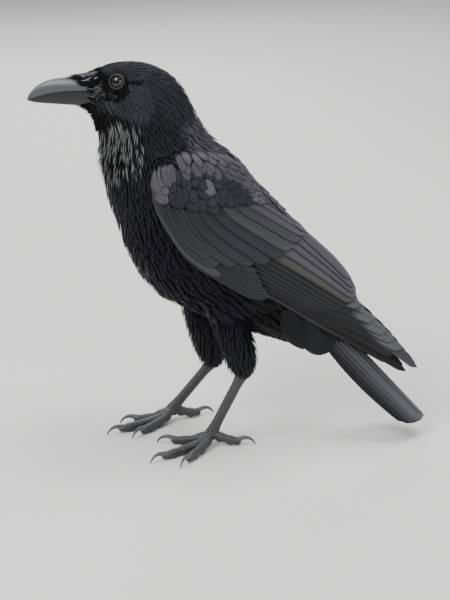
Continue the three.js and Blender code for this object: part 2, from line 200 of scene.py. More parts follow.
# Markings and painted shade shared by the skin and the coat: soft patches (middle Y, Z, half sizes, turn,
# softness, colour)
plumage = {
    "base": tone(37, 38, 40),
    "patches": [
        ((-30, 150), (70, 48), -30, 0.3, tone(28, 27, 33)),  # belly
        ((-60, 325), (48, 15), -8, 0.3, tone(54, 55, 59)),  # crown
        ((-29, 292), (44, 15), -53, 0.5, tone(48, 49, 53)),  # hind neck
        ((-71, 302), (15, 17), 0, 0.22, tone(59, 60, 65)),  # cheek
        ((-87, 296), (14, 8.5), -28, 0.2, tone(58, 59, 64)),  # cheek, towards the bill
        ((-84, 284), (19, 3.2), -40, 0.4, tone(8, 8, 8)),  # painted shade in the fold under the cheek
        ((-90, 264), (17, 25), -12, 0.3, tone(22, 23, 23)),  # painted shade under the throat feathers
        ((-104, 288), (7, 14), 8, 0.3, tone(14, 12, 11)),  # throat
        ((6, 247), (36, 17), -40, 0.3, tone(78, 77, 83)),  # mantle
        ((-14, 268), (20, 13), -45, 0.3, tone(80, 79, 85)),  # mantle, up to the hind neck
        ((-95, 205), (8, 34), 12, 0.7, tone(50, 51, 54)),  # front of the breast
        ((-68, 148), (8, 30), 38, 0.7, tone(52, 53, 55)),  # front of the belly
        ((-101, 315), (13, 12), 0, 0.2, tone(12, 12, 12)),  # lores
        ((-89, 313), (11.5, 10.5), 0, 0.15, tone(12, 12, 12)),  # round the eye
        ((-73, 319.5), (10, 1.6), 0, 0.5, tone(12, 12, 12)),  # line behind the eye
        ((40, 107), (22, 22), 0, 0.35, tone(13, 13, 11)),  # vent, painted near-black as shade behind the thighs
    ],
}


def turnedPlace(flat, middle, half, turn):
    # how far each point lies across and up a turned oval, in its half sizes
    angle = math.radians(turn)
    x, y = (flat - middle).T
    return ((x * math.cos(angle) + y * math.sin(angle)) / half[0],
            (y * math.cos(angle) - x * math.sin(angle)) / half[1])


def patchShare(points, middle, half, turn, soft=0.01):
    # 1 inside a turned oval of the side view, fading to 0 outside it
    return 1 - ease(1 - soft, 1 + soft, np.hypot(*turnedPlace(points[:, 1:], middle, half, turn)))


def markingsAndShade(points):
    colour = np.tile(plumage["base"], (len(points), 1))
    for *patch, shade in plumage["patches"]:
        colour += (np.array(shade) - colour) * patchShare(points, *patch)[:, None]
    return colour


# Skin: one surface for all the flesh, inside it by the depth of the coat
wingFlesh = ["scapulars_left", "scapulars_right", "wing_coverts_left", "wing_coverts_right"]
skin = {
    "nodes": ["head", "neck", "breast", "belly", "rump", "thigh_left", "thigh_right"] + wingFlesh,
    "voxel": 0.0017,
    "smoothing": 4,
    "rows": [0, 1.5, 4, 7, 10, 17],
    "depth": [0.3, 0.9, 1.5, 2.2, 2.8, 2.6],  # of the coat in millimetres, at those rows of the body
    "shade": 0.5,  # of the markings and painted shade
}


def makeSkin():
    mesh = cadCopy(skin["nodes"])
    holder = linked("holder", mesh)
    remesh = holder.modifiers.new("remesh", "REMESH")
    remesh.mode = "VOXEL"
    remesh.voxel_size = skin["voxel"]
    mesh = bpy.data.meshes.new_from_object(holder.evaluated_get(bpy.context.evaluated_depsgraph_get()))
    bpy.data.objects.remove(holder)
    bm = bmesh.new()
    bm.from_mesh(mesh)
    for _ in range(skin["smoothing"]):
        bmesh.ops.smooth_vert(bm, verts=bm.verts, factor=0.5, use_axis_x=True, use_axis_y=True,
                              use_axis_z=True)
    bm.normal_update()
    normals = np.array([v.normal for v in bm.verts])
    mesh = meshFrom(bm)
    points = toBird(coordsOf(mesh))
    rows, _ = bodyPlace(points)
    points -= normals * np.interp(rows, skin["rows"], skin["depth"])[:, None]
    paintPoints(mesh, markingsAndShade(points) * skin["shade"])
    return placed(mesh, points)


print("making the skin")
skinMesh = makeSkin()
skinPoints = toBird(coordsOf(skinMesh))
skinTree = treeOf(skinMesh)


# Vanes: thin closed leaves. A template holds, for each of its points, the place across (-1 to 1) and
# along (0 to 1), the half width there and whether it is on the underside.
def vaneTemplate(columns, rows, outline, fray=0.0, rounding=0.1, crowd=1.1):
    bm = bmesh.new()
    bmesh.ops.create_grid(bm, x_segments=columns, y_segments=rows, size=0.5)
    under = bmesh.ops.duplicate(bm, geom=bm.verts[:] + bm.edges[:] + bm.faces[:])["geom"]
    bmesh.ops.reverse_faces(bm, faces=[f for f in under if isinstance(f, bmesh.types.BMFace)])
    for vert in under:
        if isinstance(vert, bmesh.types.BMVert):
            vert.co.z = -1 if max(abs(vert.co.x), abs(vert.co.y)) < 0.499 else 0
    bmesh.ops.remove_doubles(bm, verts=bm.verts, dist=1e-4)
    bm.verts.index_update()
    flat = np.array([v.co for v in bm.verts])
    faces = np.array([[v.index for v in f.verts] for f in bm.faces])
    bm.free()
    u = flat[:, 0] * 2
    t = 1 - (0.5 - flat[:, 1]) ** crowd
    odd = np.rint((flat[:, 0] + 0.5) * columns).astype(int) % 2
    length = t - ease(0.55, 1.0, t) * ((1 - odd) * fray + u ** 2 * rounding)
    return {"u": u, "t": length, "z": flat[:, 2], "side": u * outline(t), "faces": faces}


def roundEnded(root, swell, start, reach, least):
    # an outline that widens from its root and rounds off past start
    def outline(t):
        end = np.sqrt(np.clip(1 - (np.clip(t - start, 0, 1) / reach) ** 2, least, 1))
        return np.minimum(root + swell * t, 1) * end
    return outline


def softOutline(t):
    return np.minimum(0.45 + 1.6 * t, 1) * np.clip(1 - np.clip((t - 0.35) / 0.68, 0, 1) ** 1.8, 0.04, 1)


def lanceOutline(t):
    return np.minimum(0.4 + 2.2 * t, 1) * np.clip(1 - t ** 2.2, 0.03, 1) ** 0.8


def fingerOutline(t):
    # an outer flight feather, narrowed towards its short rounded end
    return roundEnded(0.5, 2.5, 0.96, 0.0405, 0.01)(t) * (1 - 0.3 * ease(0.55, 0.95, t))


contourVane = vaneTemplate(4, 5, roundEnded(0.35, 1.9, 0.5, 0.62, 0.1), fray=0.05)
softVane = vaneTemplate(2, 4, softOutline, rounding=0.12)
bristleVane = vaneTemplate(2, 7, lanceOutline)
bigVane = vaneTemplate(6, 22, roundEnded(0.5, 2.5, 0.93, 0.071, 0.01), rounding=0.012, crowd=1.7)
fingerVane = vaneTemplate(6, 22, fingerOutline, rounding=0.012, crowd=1.7)
coverVane = vaneTemplate(4, 8, roundEnded(0.5, 1.6, 0.45, 0.56, 0.02), fray=0.02, rounding=0.06)
lobeVane = vaneTemplate(10, 18, roundEnded(0.5, 1.6, 0.62, 0.385, 0.01), rounding=0.02, crowd=1.5)
shaftVane = vaneTemplate(2, 14, lambda t: 1 - 0.75 * t)


def alongStations(template, stations, normals, halfWidth, camber, thick):
    # every vane laid along its own line of stations; returns (vane, point, xyz)
    count = stations.shape[1] - 1
    place = template["t"] * count
    low = np.clip(place.astype(int), 0, count - 1)
    part = (place - low)[None, :, None]
    sides = unit(np.cross(unit(np.gradient(stations, axis=1)), normals))
    mix = lambda values: values[:, low] * (1 - part) + values[:, low + 1] * part
    across = template["side"] * halfWidth[:, None]
    sink = camber[:, None] * template["u"] ** 2 - template["z"] * np.reshape(thick, (-1, 1))
    return mix(stations) + mix(sides) * across[..., None] - mix(unit(normals)) * sink[..., None]


def vaneMesh(template, points, shades, spots, spotSize=0.003):
    # points in millimetres, one row of template points for each vane; each has its patch on the bake's map
    count, size = points.shape[:2]
    faces = (template["faces"] + (np.arange(count) * size)[:, None, None]).reshape(-1, 4)
    mesh = bpy.data.meshes.new("vanes")
    mesh.vertices.add(count * size)
    mesh.vertices.foreach_set("co", toFrame(points).ravel())
    mesh.loops.add(faces.size)
    mesh.loops.foreach_set("vertex_index", faces.ravel())
    mesh.polygons.add(len(faces))
    mesh.polygons.foreach_set("loop_start", np.arange(0, faces.size, 4))
    mesh.update(calc_edges=True)
    flat = stacked(template["u"] * 0.5 + 0.5, template["t"])[faces.ravel() % size]
    baked = spots[faces.ravel() // size] + (flat - 0.5) * spotSize
    for layer, places in (("vane", flat), ("OFBake", baked)):
        mesh.uv_layers.new(name=layer).data.foreach_set("uv", places.ravel())
    mesh.uv_layers.active = mesh.uv_layers["vane"]
    mesh.uv_layers["vane"].active_render = True
    paintPoints(mesh, shades.reshape(-1, 3))
    return mesh


def tufts(vane, lines, width, thick, shades, spots, camber=0.12):
    # vanes laid along their lines; shades are one to a vane or one to each of its points
    points = alongStations(vane, *lines, width / 2, width * camber, thick)
    if shades.ndim == 2:
        shades = np.repeat(shades[:, None], points.shape[1], axis=1)
    return vaneMesh(vane, points, shades, spots)


def bodySpots(points, thigh=False):
    # where each root lies on the skin unrolled: round the body across, from bill to tail upwards
    rows, _ = bodyPlace(points)
    centre = between(rows, rungRows, (backPoints + frontPoints) / 2)
    up = between(rows, rungRows, backPoints - frontPoints)
    height = ((points[:, 1:] - centre) * unit(up)).sum(axis=1)
    turn = np.arctan2(points[:, 0], height) / (2 * math.pi)
    spots = stacked(0.41 + turn * 0.8, 0.02 + rows / lastRow * 0.96)
    leg = np.arctan2(points[:, 1], np.abs(points[:, 0]) - 26) / (2 * math.pi)
    legSpots = stacked(0.91 + leg * 0.15, 0.04 + (points[:, 2] - 45) / 100 * 0.44 + (points[:, 0] > 0) * 0.5)
    return np.where(np.reshape(thigh, (-1, 1)), legSpots, spots)


# Body coat: contour feathers scattered over the skin. Lengths and widths in millimetres at rows of the body.
coat = {
    "rows": [0, 1, 2.5, 4.5, 7, 9, 12, 14.5, 16, 17],
    "length": [3.2, 3.8, 5.5, 8.5, 12, 14, 17, 21, 27, 30],
    "width": [0.9, 1.0, 1.3, 1.7, 2.4, 3.2, 4.6, 7.5, 13, 16],
    "thighLength": 13,
    "thighWidth": 2.8,
    "thighTop": 118,  # the roots are spaced for the thighs below this and ahead of the next
    "thighBack": 32,
    "billStart": (-106.5, 297),  # no roots ahead of this Y and above this Z
    "closeness": 0.42,  # spacing of the roots, of the root of length times width
    "lengths": (0.85, 1.2),  # how much they differ
    "widths": (0.85, 1.15),
    "gains": (0.88, 1.12),
    "lifts": (1.15, 1.4),  # rise of the tips over the skin, of the depth of the coat
    "thighLift": 1.3,
    "wobble": 0.06,
    "steps": 4,
    "camber": 0.1,  # of the width
    "thick": 0.016,  # of the length
    "thinnest": 0.1,
    "broad": 6.5,  # wider feathers than this have a vane with more columns
    "seed": 11,
    "tries": 90000,
    "gape": ((-101, 306), (10, 9), 0, 0.4),  # patch with pale feathers strewn in it
    "speckled": 0.3,
    "speckle": tone(74, 75, 76),
    "eyeClear": 6.9,  # no feather roots nearer to the middle of an eye than this
    "open": 14,  # nor where the body faces a wing nearer than this
    "straight": 0.8,  # those whose ends are nearer together, of their length, are left out
}
eye = {"middle": (13.6, -87.5, 319.6), "radius": 7.0}


def scattered(spacing, allowed, count, seed):
    # roots spread over the skin, no two nearer than the spacing there
    rng = np.random.default_rng(seed)
    skinMesh.calc_loop_triangles()
    corners = np.empty(len(skinMesh.loop_triangles) * 3, int)
    skinMesh.loop_triangles.foreach_get("vertices", corners)
    a, b, c = (skinPoints[corners.reshape(-1, 3)[:, k]] for k in range(3))
    area = np.linalg.norm(np.cross(b - a, c - a), axis=1)
    weight = area / spacing((a + b + c) / 3) ** 2
    pick = rng.choice(len(a), size=count, p=weight / weight.sum())
    r = np.sqrt(rng.random(count))[:, None]
    s = rng.random(count)[:, None]
    points = a[pick] * (1 - r) + b[pick] * r * (1 - s) + c[pick] * r * s
    points = points[allowed(points)]
    gaps = spacing(points)
    tree = KDTree(len(points))
    for i, point in enumerate(points.tolist()):
        tree.insert(point, i)
    tree.balance()
    alive = np.ones(len(points), bool)
    kept = []
    for i, point in enumerate(points.tolist()):
        if alive[i]:
            kept.append(i)
            for _, j, _ in tree.find_range(point, float(gaps[i])):
                alive[j] = False
    return points[kept]


def onSkin(points):
    # nearest points of the skin and the way it faces there
    found = np.array([skinTree.find_nearest(point)[:2] for point in points.tolist()])
    return found[:, 0], found[:, 1]


def legWay(points):
    left = unit(np.array([0.10, 0.10, -1.0]))
    right = unit(np.array([-0.10, 0.16, -1.0]))
    return np.where(points[:, :1] > 0, left, right)


def marched(roots, lengths, steps, way, lift):
    # lines that run over the skin from each root, rising from it towards their ends
    places, faces = onSkin(roots)
    stations = [places - faces * 0.4]
    normals = [faces]
    for step in range(1, steps + 1):
        ways = way(places)
        ways = unit(ways - faces * (ways * faces).sum(axis=1, keepdims=True))
        places, faces = onSkin(places + ways * (lengths / steps)[:, None])
        stations.append(places + faces * (lift * (step / steps) ** 1.1)[:, None])
        normals.append(faces)
    return np.stack(stations, axis=1), np.stack(normals, axis=1)


regionNodes = {name: [name] for name in ("head", "neck", "breast", "belly", "rump")} | {
    "thigh": ["thigh_left", "thigh_right"],
    "wing": wingFlesh + ["wing_secondaries_left", "wing_secondaries_right"],
}
regionTrees = {name: treeOf(cadCopy(nodes)) for name, nodes in regionNodes.items()}


def regionOf(points):
    gaps = [[tree.find_nearest(point)[3] for point in points.tolist()] for tree in regionTrees.values()]
    return np.array(list(regionTrees))[np.argmin(gaps, axis=0)]


def eyeGap(points):
    # from the middle of the eye on the same side
    return np.linalg.norm(np.abs(points) * (1, 0, 0) + points * (0, 1, 1) - eye["middle"], axis=1)


def coatSize(points):
    rows, _ = bodyPlace(points)
    nearEye = ease(6, 16, eyeGap(points))
    return (np.interp(rows, coat["rows"], coat["length"]) * (0.55 + 0.45 * nearEye),
            np.interp(rows, coat["rows"], coat["width"]) * (0.6 + 0.4 * nearEye))


def coatSpacing(points):
    length, width = coatSize(points)
    leg = (points[:, 2] < coat["thighTop"]) & (points[:, 1] < coat["thighBack"])
    length = np.where(leg, coat["thighLength"], length)
    width = np.where(leg, coat["thighWidth"], width)
    return coat["closeness"] * np.sqrt(length * width)


def coatAllowed(points):
    ahead, above = coat["billStart"]
    onBill = (points[:, 1] < ahead) & (points[:, 2] > above)
    tiled = patchShare(points, *tailCoverts["patch"]) > 0.5
    places, faces = onSkin(points)
    shutIn = np.array([skinTree.ray_cast(start, way, coat["open"])[0] is not None
                       for start, way in zip(places + faces * 0.6, faces)])
    return (eyeGap(points) > coat["eyeClear"]) & ~shutIn & ~onBill & ~tiled


def growBodyCoat():
    rng = np.random.default_rng(coat["seed"])
    roots = scattered(coatSpacing, coatAllowed, coat["tries"], coat["seed"])
    regions = regionOf(roots)
    roots, regions = roots[regions != "wing"], regions[regions != "wing"]
    thigh = regions == "thigh"
    length, width = coatSize(roots)
    broad = (width > coat["broad"]) & ~thigh
    length = np.where(thigh, coat["thighLength"], length) * rng.uniform(*coat["lengths"], len(roots))
    width = np.where(thigh, coat["thighWidth"], width) * rng.uniform(*coat["widths"], len(roots))
    rows, _ = bodyPlace(roots)
    lift = np.interp(rows, skin["rows"], skin["depth"]) * rng.uniform(*coat["lifts"], len(roots))
    lift = np.where(thigh, lift * coat["thighLift"], lift)
    wobble = rng.normal(0, coat["wobble"], (len(roots), 3))
    way = lambda places: np.where(thigh[:, None], legWay(places), bodyWay(places)) + wobble
    stations, normals = marched(roots, length, coat["steps"], way, lift)
    straight = np.linalg.norm(stations[:, -1] - stations[:, 0], axis=1) > coat["straight"] * length
    thick = np.maximum(length * coat["thick"], coat["thinnest"])
    base = markingsAndShade(stations[:, 3])
    speckled = rng.random(len(roots)) < coat["speckled"] * patchShare(roots, *coat["gape"])
    base[speckled] = coat["speckle"]
    base *= rng.uniform(*coat["gains"], len(roots))[:, None]
    spots = bodySpots(roots, thigh)
    for region in ("head", "neck", "breast", "belly", "rump", "thigh"):
        meshes = []
        for vane, kind in ((softVane, ~broad), (contourVane, broad)):
            own = (regions == region) & kind & straight
            if own.any():
                # darker towards the roots: painted shade under the feathers that lie over them
                shades = base[own][:, None] * (0.8 + 0.25 * vane["t"])[:, None]
                lines = stations[own], normals[own]
                meshes.append(tufts(vane, lines, width[own], thick[own], shades, spots[own], coat["camber"]))
        finishPiece("coat_" + region, joined(meshes), coatMaterial, "plumage")


# Large feathers under the root of the tail, on each side, like tiles
tailCoverts = {
    "patch": ((75, 96), (27, 17), -43),  # where they take the place of the coat
    "root": [(24, 51, 126), (22, 61, 120), (17, 76, 109), (9, 60, 93), (8, 76, 86)],
    "tip": [(11, 67, 84), (10.5, 85, 75), (9, 95, 79), (4, 81, 76), (3, 94, 72)],
    "half": [9.5, 11.5, 11, 9, 8],
    "over": [(3.4, 5.2), (2.6, 6.7), (1.7, 4.6), (1.6, 4.2), (0.9, 2.7)],  # the skin, root to tip
    "thick": 0.3,
    "seed": 61,
    # the tile by the thigh is a little darker and the two inner ones, between the thighs, near-black: painted
    # shade
    "shades": [tone(28, 29, 31)] + [tone(33, 34, 36)] * 2 + [tone(13, 13, 14)] * 2,
}


def vaneShades(template, shades, rng, rootShadow=0.6):
    # a random tone for each feather, darker towards its root: painted shade where the feathers above overlap
    # it
    gain = rng.uniform(0.92, 1.08, len(shades))[:, None] * (rootShadow + (1 - rootShadow) * template["t"])
    return np.asarray(shades)[:, None] * gain[..., None]


def growTailCoverts():
    rng = np.random.default_rng(tailCoverts["seed"])
    roots, tips = (np.concatenate([np.array(tailCoverts[key], float) * (side, 1, 1) for side in (1, -1)])
                   for key in ("root", "tip"))
    half = np.tile(tailCoverts["half"], 2)
    steps = np.linspace(0, 1, 9)[:, None]
    stations = roots[:, None] * (1 - steps) + tips[:, None] * steps
    normals = onSkin(stations.reshape(-1, 3))[1].reshape(stations.shape)
    normals = np.repeat(unit(normals.mean(axis=1, keepdims=True)), len(steps), axis=1)
    flat = alongStations(lobeVane, stations, normals, half, half * 0, 0)
    places, faces = onSkin(flat.reshape(-1, 3))
    low, high = np.tile(tailCoverts["over"], (2, 1)).T[..., None]
    over = low + (high - low) * lobeVane["t"] ** 2 + lobeVane["z"] * tailCoverts["thick"]
    points = (places + faces * over.reshape(-1, 1)).reshape(flat.shape)
    shades = vaneShades(lobeVane, tailCoverts["shades"] * 2, rng, 0.8)
    mesh = vaneMesh(lobeVane, points, shades, bodySpots(roots))
    finishPiece("coat_tail_coverts", mesh, tailCovertMaterial, "plumage")


# Charts: the folded wing and the tail as surfaces on which feathers are laid out by millimetres along
# and up. A chart holds a grid of points and normals, with the girth of each of its rows.
foldedWing = {
    "start": (-63, 236),  # bend of the wing, as Y and Z
    "slope": 37.2,
    "tuck": 100,  # degrees through which a section turns down and in
    "rows": (-7, 297, 1.5),  # first, last and spacing along it
    "columns": 61,
    "rounds": 12,  # of evening out
    "along": [-7, -4, 5, 20, 38, 57, 75, 100, 125, 146, 170, 188, 199, 210, 230, 254, 276, 287, 297],
    "top": [24, 31, 41, 49, 54, 53, 48, 44, 40.5, 38.5, 36, 31.5, 26.5, 20, 17.8, 14.5, 10, 6.5, 4],
    "low": [15, 6, -4.5, -12.5, -20.5, -27.5, -27.5, -25.5, -26, -14.5, -11.2, -11.2, -11, -11, -10.8, -10.3,
            -9.8, -9.8, -9.8],
    "topX": [37, 33.5, 29, 21, 12, 6, 3, 2, 2, 2, 2, 1.5, 1, 1, 1, 1, 1.2, 1.5, 1.5],
    "lowX": [40.5, 44, 47.5, 50, 50.5, 50, 49, 46, 41, 36, 31, 27.5, 25, 22.5, 19, 15.5, 12.5, 11.5, 11],
}
foldedTail = {
    "start": (95, 106),
    "slope": 48,
    "rows": (0, 125, 2.0),
    "columns": 61,
    "rounds": 0,
    "along": [0, 29.75, 59.5, 89.25, 119],
    "half": [14, 20, 23.5, 25, 25],
    "arch": [11, 18, 19, 16.5, 11.5],
}


def softened(values, rounds):
    # evens out a grid along its rows
    for _ in range(rounds):
        values = values.copy()
        values[1:-1] = values[1:-1] * 0.5 + (values[2:] + values[:-2]) * 0.25
    return values


def sections(plan, *keys):
    # places along a chart, and its measures there
    alongs = np.arange(*plan["rows"])
    measures = (softened(np.interp(alongs, plan["along"], plan[key]), plan["rounds"]) for key in keys)
    return alongs, *(measure[:, None] for measure in measures)


def makeChart(plan, alongs, up, side, base, low):
    # places up and to the side of a sloping line, respaced evenly by girth from the low edge
    across, down = math.cos(math.radians(plan["slope"])), math.sin(math.radians(plan["slope"]))
    y, z = plan["start"]
    run = alongs[:, None]
    points = stacked(side, y + run * across + up * down, z - run * down + up * across)
    steps = np.linalg.norm(np.diff(points, axis=1), axis=2)
    girth = np.pad(np.cumsum(steps, axis=1), ((0, 0), (1, 0)))
    even = np.linspace(0, 1, points.shape[1])
    grid = np.array([between(even, places / places[-1], row) for places, row in zip(girth, points)])
    normals = unit(np.cross(np.gradient(grid, axis=0), np.gradient(grid, axis=1)))
    return {"along": alongs, "grid": grid, "normals": unit(softened(normals, 3)), "girth": girth[:, -1],
            "base": base, "low": low}


def wingChart():
    alongs, top, low, topX, lowX = sections(foldedWing, "top", "low", "topX", "lowX")
    angle = np.radians(np.linspace(foldedWing["tuck"], 0, foldedWing["columns"]))
    end = np.cos(angle[0])
    up = low + (top - low) * (np.cos(angle) - end) / (1 - end)
    return makeChart(foldedWing, alongs, up, topX + (lowX - topX) * np.sin(angle), 0, low[:, 0])


def tailChart():
    alongs, half, arch = sections(foldedTail, "half", "arch")
    f = np.linspace(-1, 1, foldedTail["columns"])
    return makeChart(foldedTail, alongs, -arch * np.abs(f) ** 1.6, -half * f, 0.5, alongs * 0)


def onChart(chart, along, up):
    # point and normal at millimetres along and up from the chart's base line, also past its edges
    rows, cells = (size - 1 for size in chart["grid"].shape[:2])
    places = (along - chart["along"][0]) / (chart["along"][1] - chart["along"][0])
    across = (up / np.interp(along, chart["along"], chart["girth"]) + chart["base"]) * cells
    i = np.clip(places.astype(int), 0, rows - 1)
    j = np.clip(across.astype(int), 0, cells - 1)
    f = (places - i)[..., None]
    g = (across - j)[..., None]

    def mix(values):
        near, far = (values[i, k] * (1 - f) + values[i + 1, k] * f for k in (j, j + 1))
        return near * (1 - g) + far * g

    return mix(chart["grid"]), unit(mix(chart["normals"]))


def laidOnChart(chart, template, feathers):
    # feathers: roots and tips with their bow, half width, heights there, tilt, camber and thickness; those
    # whose "follow" is 0 run straight on the unrolled chart, and at 1 they keep along its low edge
    column = lambda key: np.reshape(feathers[key], (-1, 1))
    lowAt = lambda along: np.interp(along, chart["along"], chart["low"]) * (1 - feathers["follow"])
    root, tip = (end + stacked(0, lowAt(end[:, 0])) for end in (feathers["root"], feathers["tip"]))
    length = np.linalg.norm(tip - root, axis=1)[:, None]
    ways = (tip - root) / length
    sides = stacked(ways[:, 1], -ways[:, 0])
    t, u = template["t"], template["u"]
    across = template["side"] * column("half") - column("bow") * np.sin(np.clip(t, 0, 1) * math.pi)
    place = root[:, None] + ways[:, None] * (t * length)[..., None] + sides[:, None] * across[..., None]
    height = column("low") + (column("high") - column("low")) * t + column("tilt") * u
    height = height - column("camber") * u ** 2 + template["z"] * feathers["thick"]
    points, normals = onChart(chart, place[..., 0], place[..., 1] - lowAt(place[..., 0]))
    return points + normals * height[..., None]


# Wing and tail feathers, as places along and up their chart. Each row runs from the wing's lower edge up,
# or from its outer feather in; "high" is the height of the tips over the chart and "low" that of the roots.
wingRows = {
    "primaries": {
        "root": (98, [11, 12.5, 15, 21, 20, 21, 22, 24, 26]),
        "tip": ([264, 281, 262, 288, 266, 256, 246, 230, 211.5], [1.5, 4, 9, 14.5, 20.5, 24, 26.5, 30, 34.5]),
        "half": [4.2, 5, 6.5, 7, 9.5, 10, 10.5, 10.5, 10.5],
        "bow": [-2, -1.5, 0, 6, 0, 0, 0, 0, 0],
        "low": (-5.4, -4.4), "high": (-3.4, -1.4), "tilt": 0.25,
        # painted shadow: the primaries are dark where the secondaries lie over them, and paler only at their
        # tips
        "shades": [tone(24, 24, 26)] * 2 + [tone(30, 30, 32)] + [tone(38, 39, 41)] * 6,
        "unshadedTips": [tone(24, 24, 26)] * 2 + [tone(34, 34, 36), tone(62, 63, 65)] + [tone(80, 81, 84)] * 5,
        "rimmed": [1, 3],  # those with a pale lower edge
        "rim": tone(88, 89, 92),
        "shaft": 0.55,
    },
    "innerPrimaries": {
        "root": (120, [30, 33, 36, 42]),
        "tip": ([273, 256, 236, 219], [23, 28.5, 34, 41]),
        "half": [8, 9, 10, 10],
        "low": (-5.8, -5.6), "high": (-3.9, -3.4), "tilt": 0.2,
        "shades": [tone(66, 67, 70)] * 4,
        "shaft": 0.4,
    },
    "secondaries": {
        "root": (88, [16, 20, 24, 28, 32, 36, 41, 46]),
        "tip": ([176, 183, 188, 193, 197, 200, 202, 204], [7, 11, 15, 19, 23, 26.5, 30, 34]),
        "half": [7, 7, 7, 7.5, 8, 8, 8, 8.5],
        "low": (-3.2, -2.2), "high": (-2.4, -1.2), "tilt": 0.3,
        "shades": [tone(30, 31, 33), tone(36, 37, 39)] + [tone(44, 45, 47)] * 6,
        "shaft": 0.45,
    },
    "tertials": {
        "root": ([88, 88, 86, 84, 82], [47, 57, 68, 78, 89]),
        "tip": ([204, 204, 202.5, 200, 192], [36.5, 41.5, 46, 50, 53]),
        "half": [10, 10, 10, 10, 9],
        "bow": 1,
        "low": (-1.6, -0.6), "high": (-0.9, 0.5), "tilt": 0.3,
        "shades": [tone(70, 70, 69), tone(80, 79, 84), tone(79, 78, 84), tone(78, 77, 83), tone(74, 73, 78)],
        "shaft": 0.45,
    },
    "primaryCoverts": {
        "root": ([56, 56, 56, 57, 57, 58, 58, 58], [1, 3, 5, 7, 9, 11, 13, 15]),
        "tip": ([139, 137, 134, 131, 127, 124, 120, 115], [2.5, 5, 8, 11, 14, 17, 19.5, 22.5]),
        "half": 3.2,
        "bow": -2,
        "low": (-1.8, -1.2), "high": (-1.3, -0.5), "tilt": 0.25,
        "shades": [tone(44, 46, 47)] * 8,
        "shaft": 0.3, "follow": 0.9,
    },
    "greaterCoverts": {
        "root": ([22, 26, 32, 39, 47, 54, 60, 66, 70, 72], [12, 20, 29, 38, 47, 56, 64, 72, 80, 88]),
        "tip": ([84, 96, 108, 118, 125.5, 129, 132, 134.5, 136, 132],
                [11.5, 18.5, 26.5, 36, 46, 55.5, 65, 73.5, 81, 87]),
        "half": [6, 6.5, 7, 7.5, 7.5, 7.6, 7, 6.8, 6.5, 6.5],
        "bow": [-2.5, -2.5, -2.5, -2, -1.5, -1, 0, 0.5, 1, 1],
        "low": (-1.0, -0.5), "high": (-0.4, 0.8), "tilt": 0.35,
        "shades": [tone(50, 52, 54), tone(49, 50, 53), tone(47, 48, 52), tone(46, 47, 51), tone(45, 46, 51),
                   tone(66, 67, 68), tone(62, 63, 66), tone(74, 73, 78), tone(80, 79, 84), tone(80, 79, 84)],
        "shaft": 0.35, "follow": 0.4,
    },
    "alula": {
        "root": ([2, 8, 16, 24], [3, 8, 12, 16]),
        "tip": ([92, 84, 74, 66], [3, 8.5, 13, 17]),
        "half": [3.8, 4, 4, 4],
        "bow": [-1, -1.5, -1.5, -1.5],
        "low": (-0.9, -0.6), "high": (-0.3, 0.3), "tilt": 0.35,
        "shades": [tone(62, 62, 67), tone(50, 51, 54), tone(48, 49, 52), tone(46, 47, 50)],
        "shaft": 0.3, "follow": 0.85,
    },
}
rowBasis = {"bow": 0, "camber": 0.25, "thick": 0.22, "follow": 0}  # of a row that says nothing else
farDrop = {"from": 204, "up": 2}  # tips of the right wing past there lie this much lower, under the left's
wingSeeds = {"left": 21, "right": 22}
smallCoverts = {
    "spacing": (3.9, 6.0),  # at the front edge and behind
    "length": (14, 18),
    "half": (4.4, 6.2),
    "turned": (0.6, 0.25),  # how far they keep from turning down with the chart's low edge
    "bend": ([0, 30, 70], [6, 16, 4]),  # degrees that they point up, by place up the chart
    "from": (-7, 0),
    "to": (78, 90),
    "tries": 12000,
    "topGap": 12,  # left for the scapulars
    "patch": ((43, 50), (43, 15), 41),  # the dark median coverts: middle, half sizes and turn on the chart
    "patchShade": tone(40, 41, 45),
    "paleSpot": (44, 54),  # one pale feather in the patch
    "paleRise": 0.5,
    "end": ([5, 12, 20, 27, 34, 52, 65, 76, 90], [0.5, 3, 9, 15, 22, 40, 55, 68, 80]),  # where they stop
    "lightShade": tone(77, 76, 81),
    "high": 0.9,
    "low": -0.4,
}
scapularRows = {
    "depths": [17, 10, 3, -4],  # of the rows below the chart's upper edge
    "count": [9, 10, 10, 11],
    "starts": [2, -2, 2, 2],
    "ends": [60, 74, 84, 93],
    "length": [16, 17, 18, 20],
    "half": 4.9,
    "lightShade": tone(67, 66, 71),
    "high": 0.9,
}
tailRow = {
    "tips": [119.5, 119, 118, 116, 113, 108],  # from the middle pair out
    "across": [3.2, 8, 12.5, 17, 20.5, 23.2],
    "half": 9,
    "root": -14,
    "rootSpread": 0.6,  # of "across"
    "tipSpread": 0.82,
    "shades": [tone(84, 84, 88), tone(84, 84, 88), tone(74, 74, 78), tone(56, 56, 59), tone(38, 39, 41),
               tone(34, 35, 37)],
    "shaft": 0.6,
    "seed": 31,
}


def turnedOn(bend, length):
    return stacked(np.cos(bend), np.sin(bend)) * length[:, None]


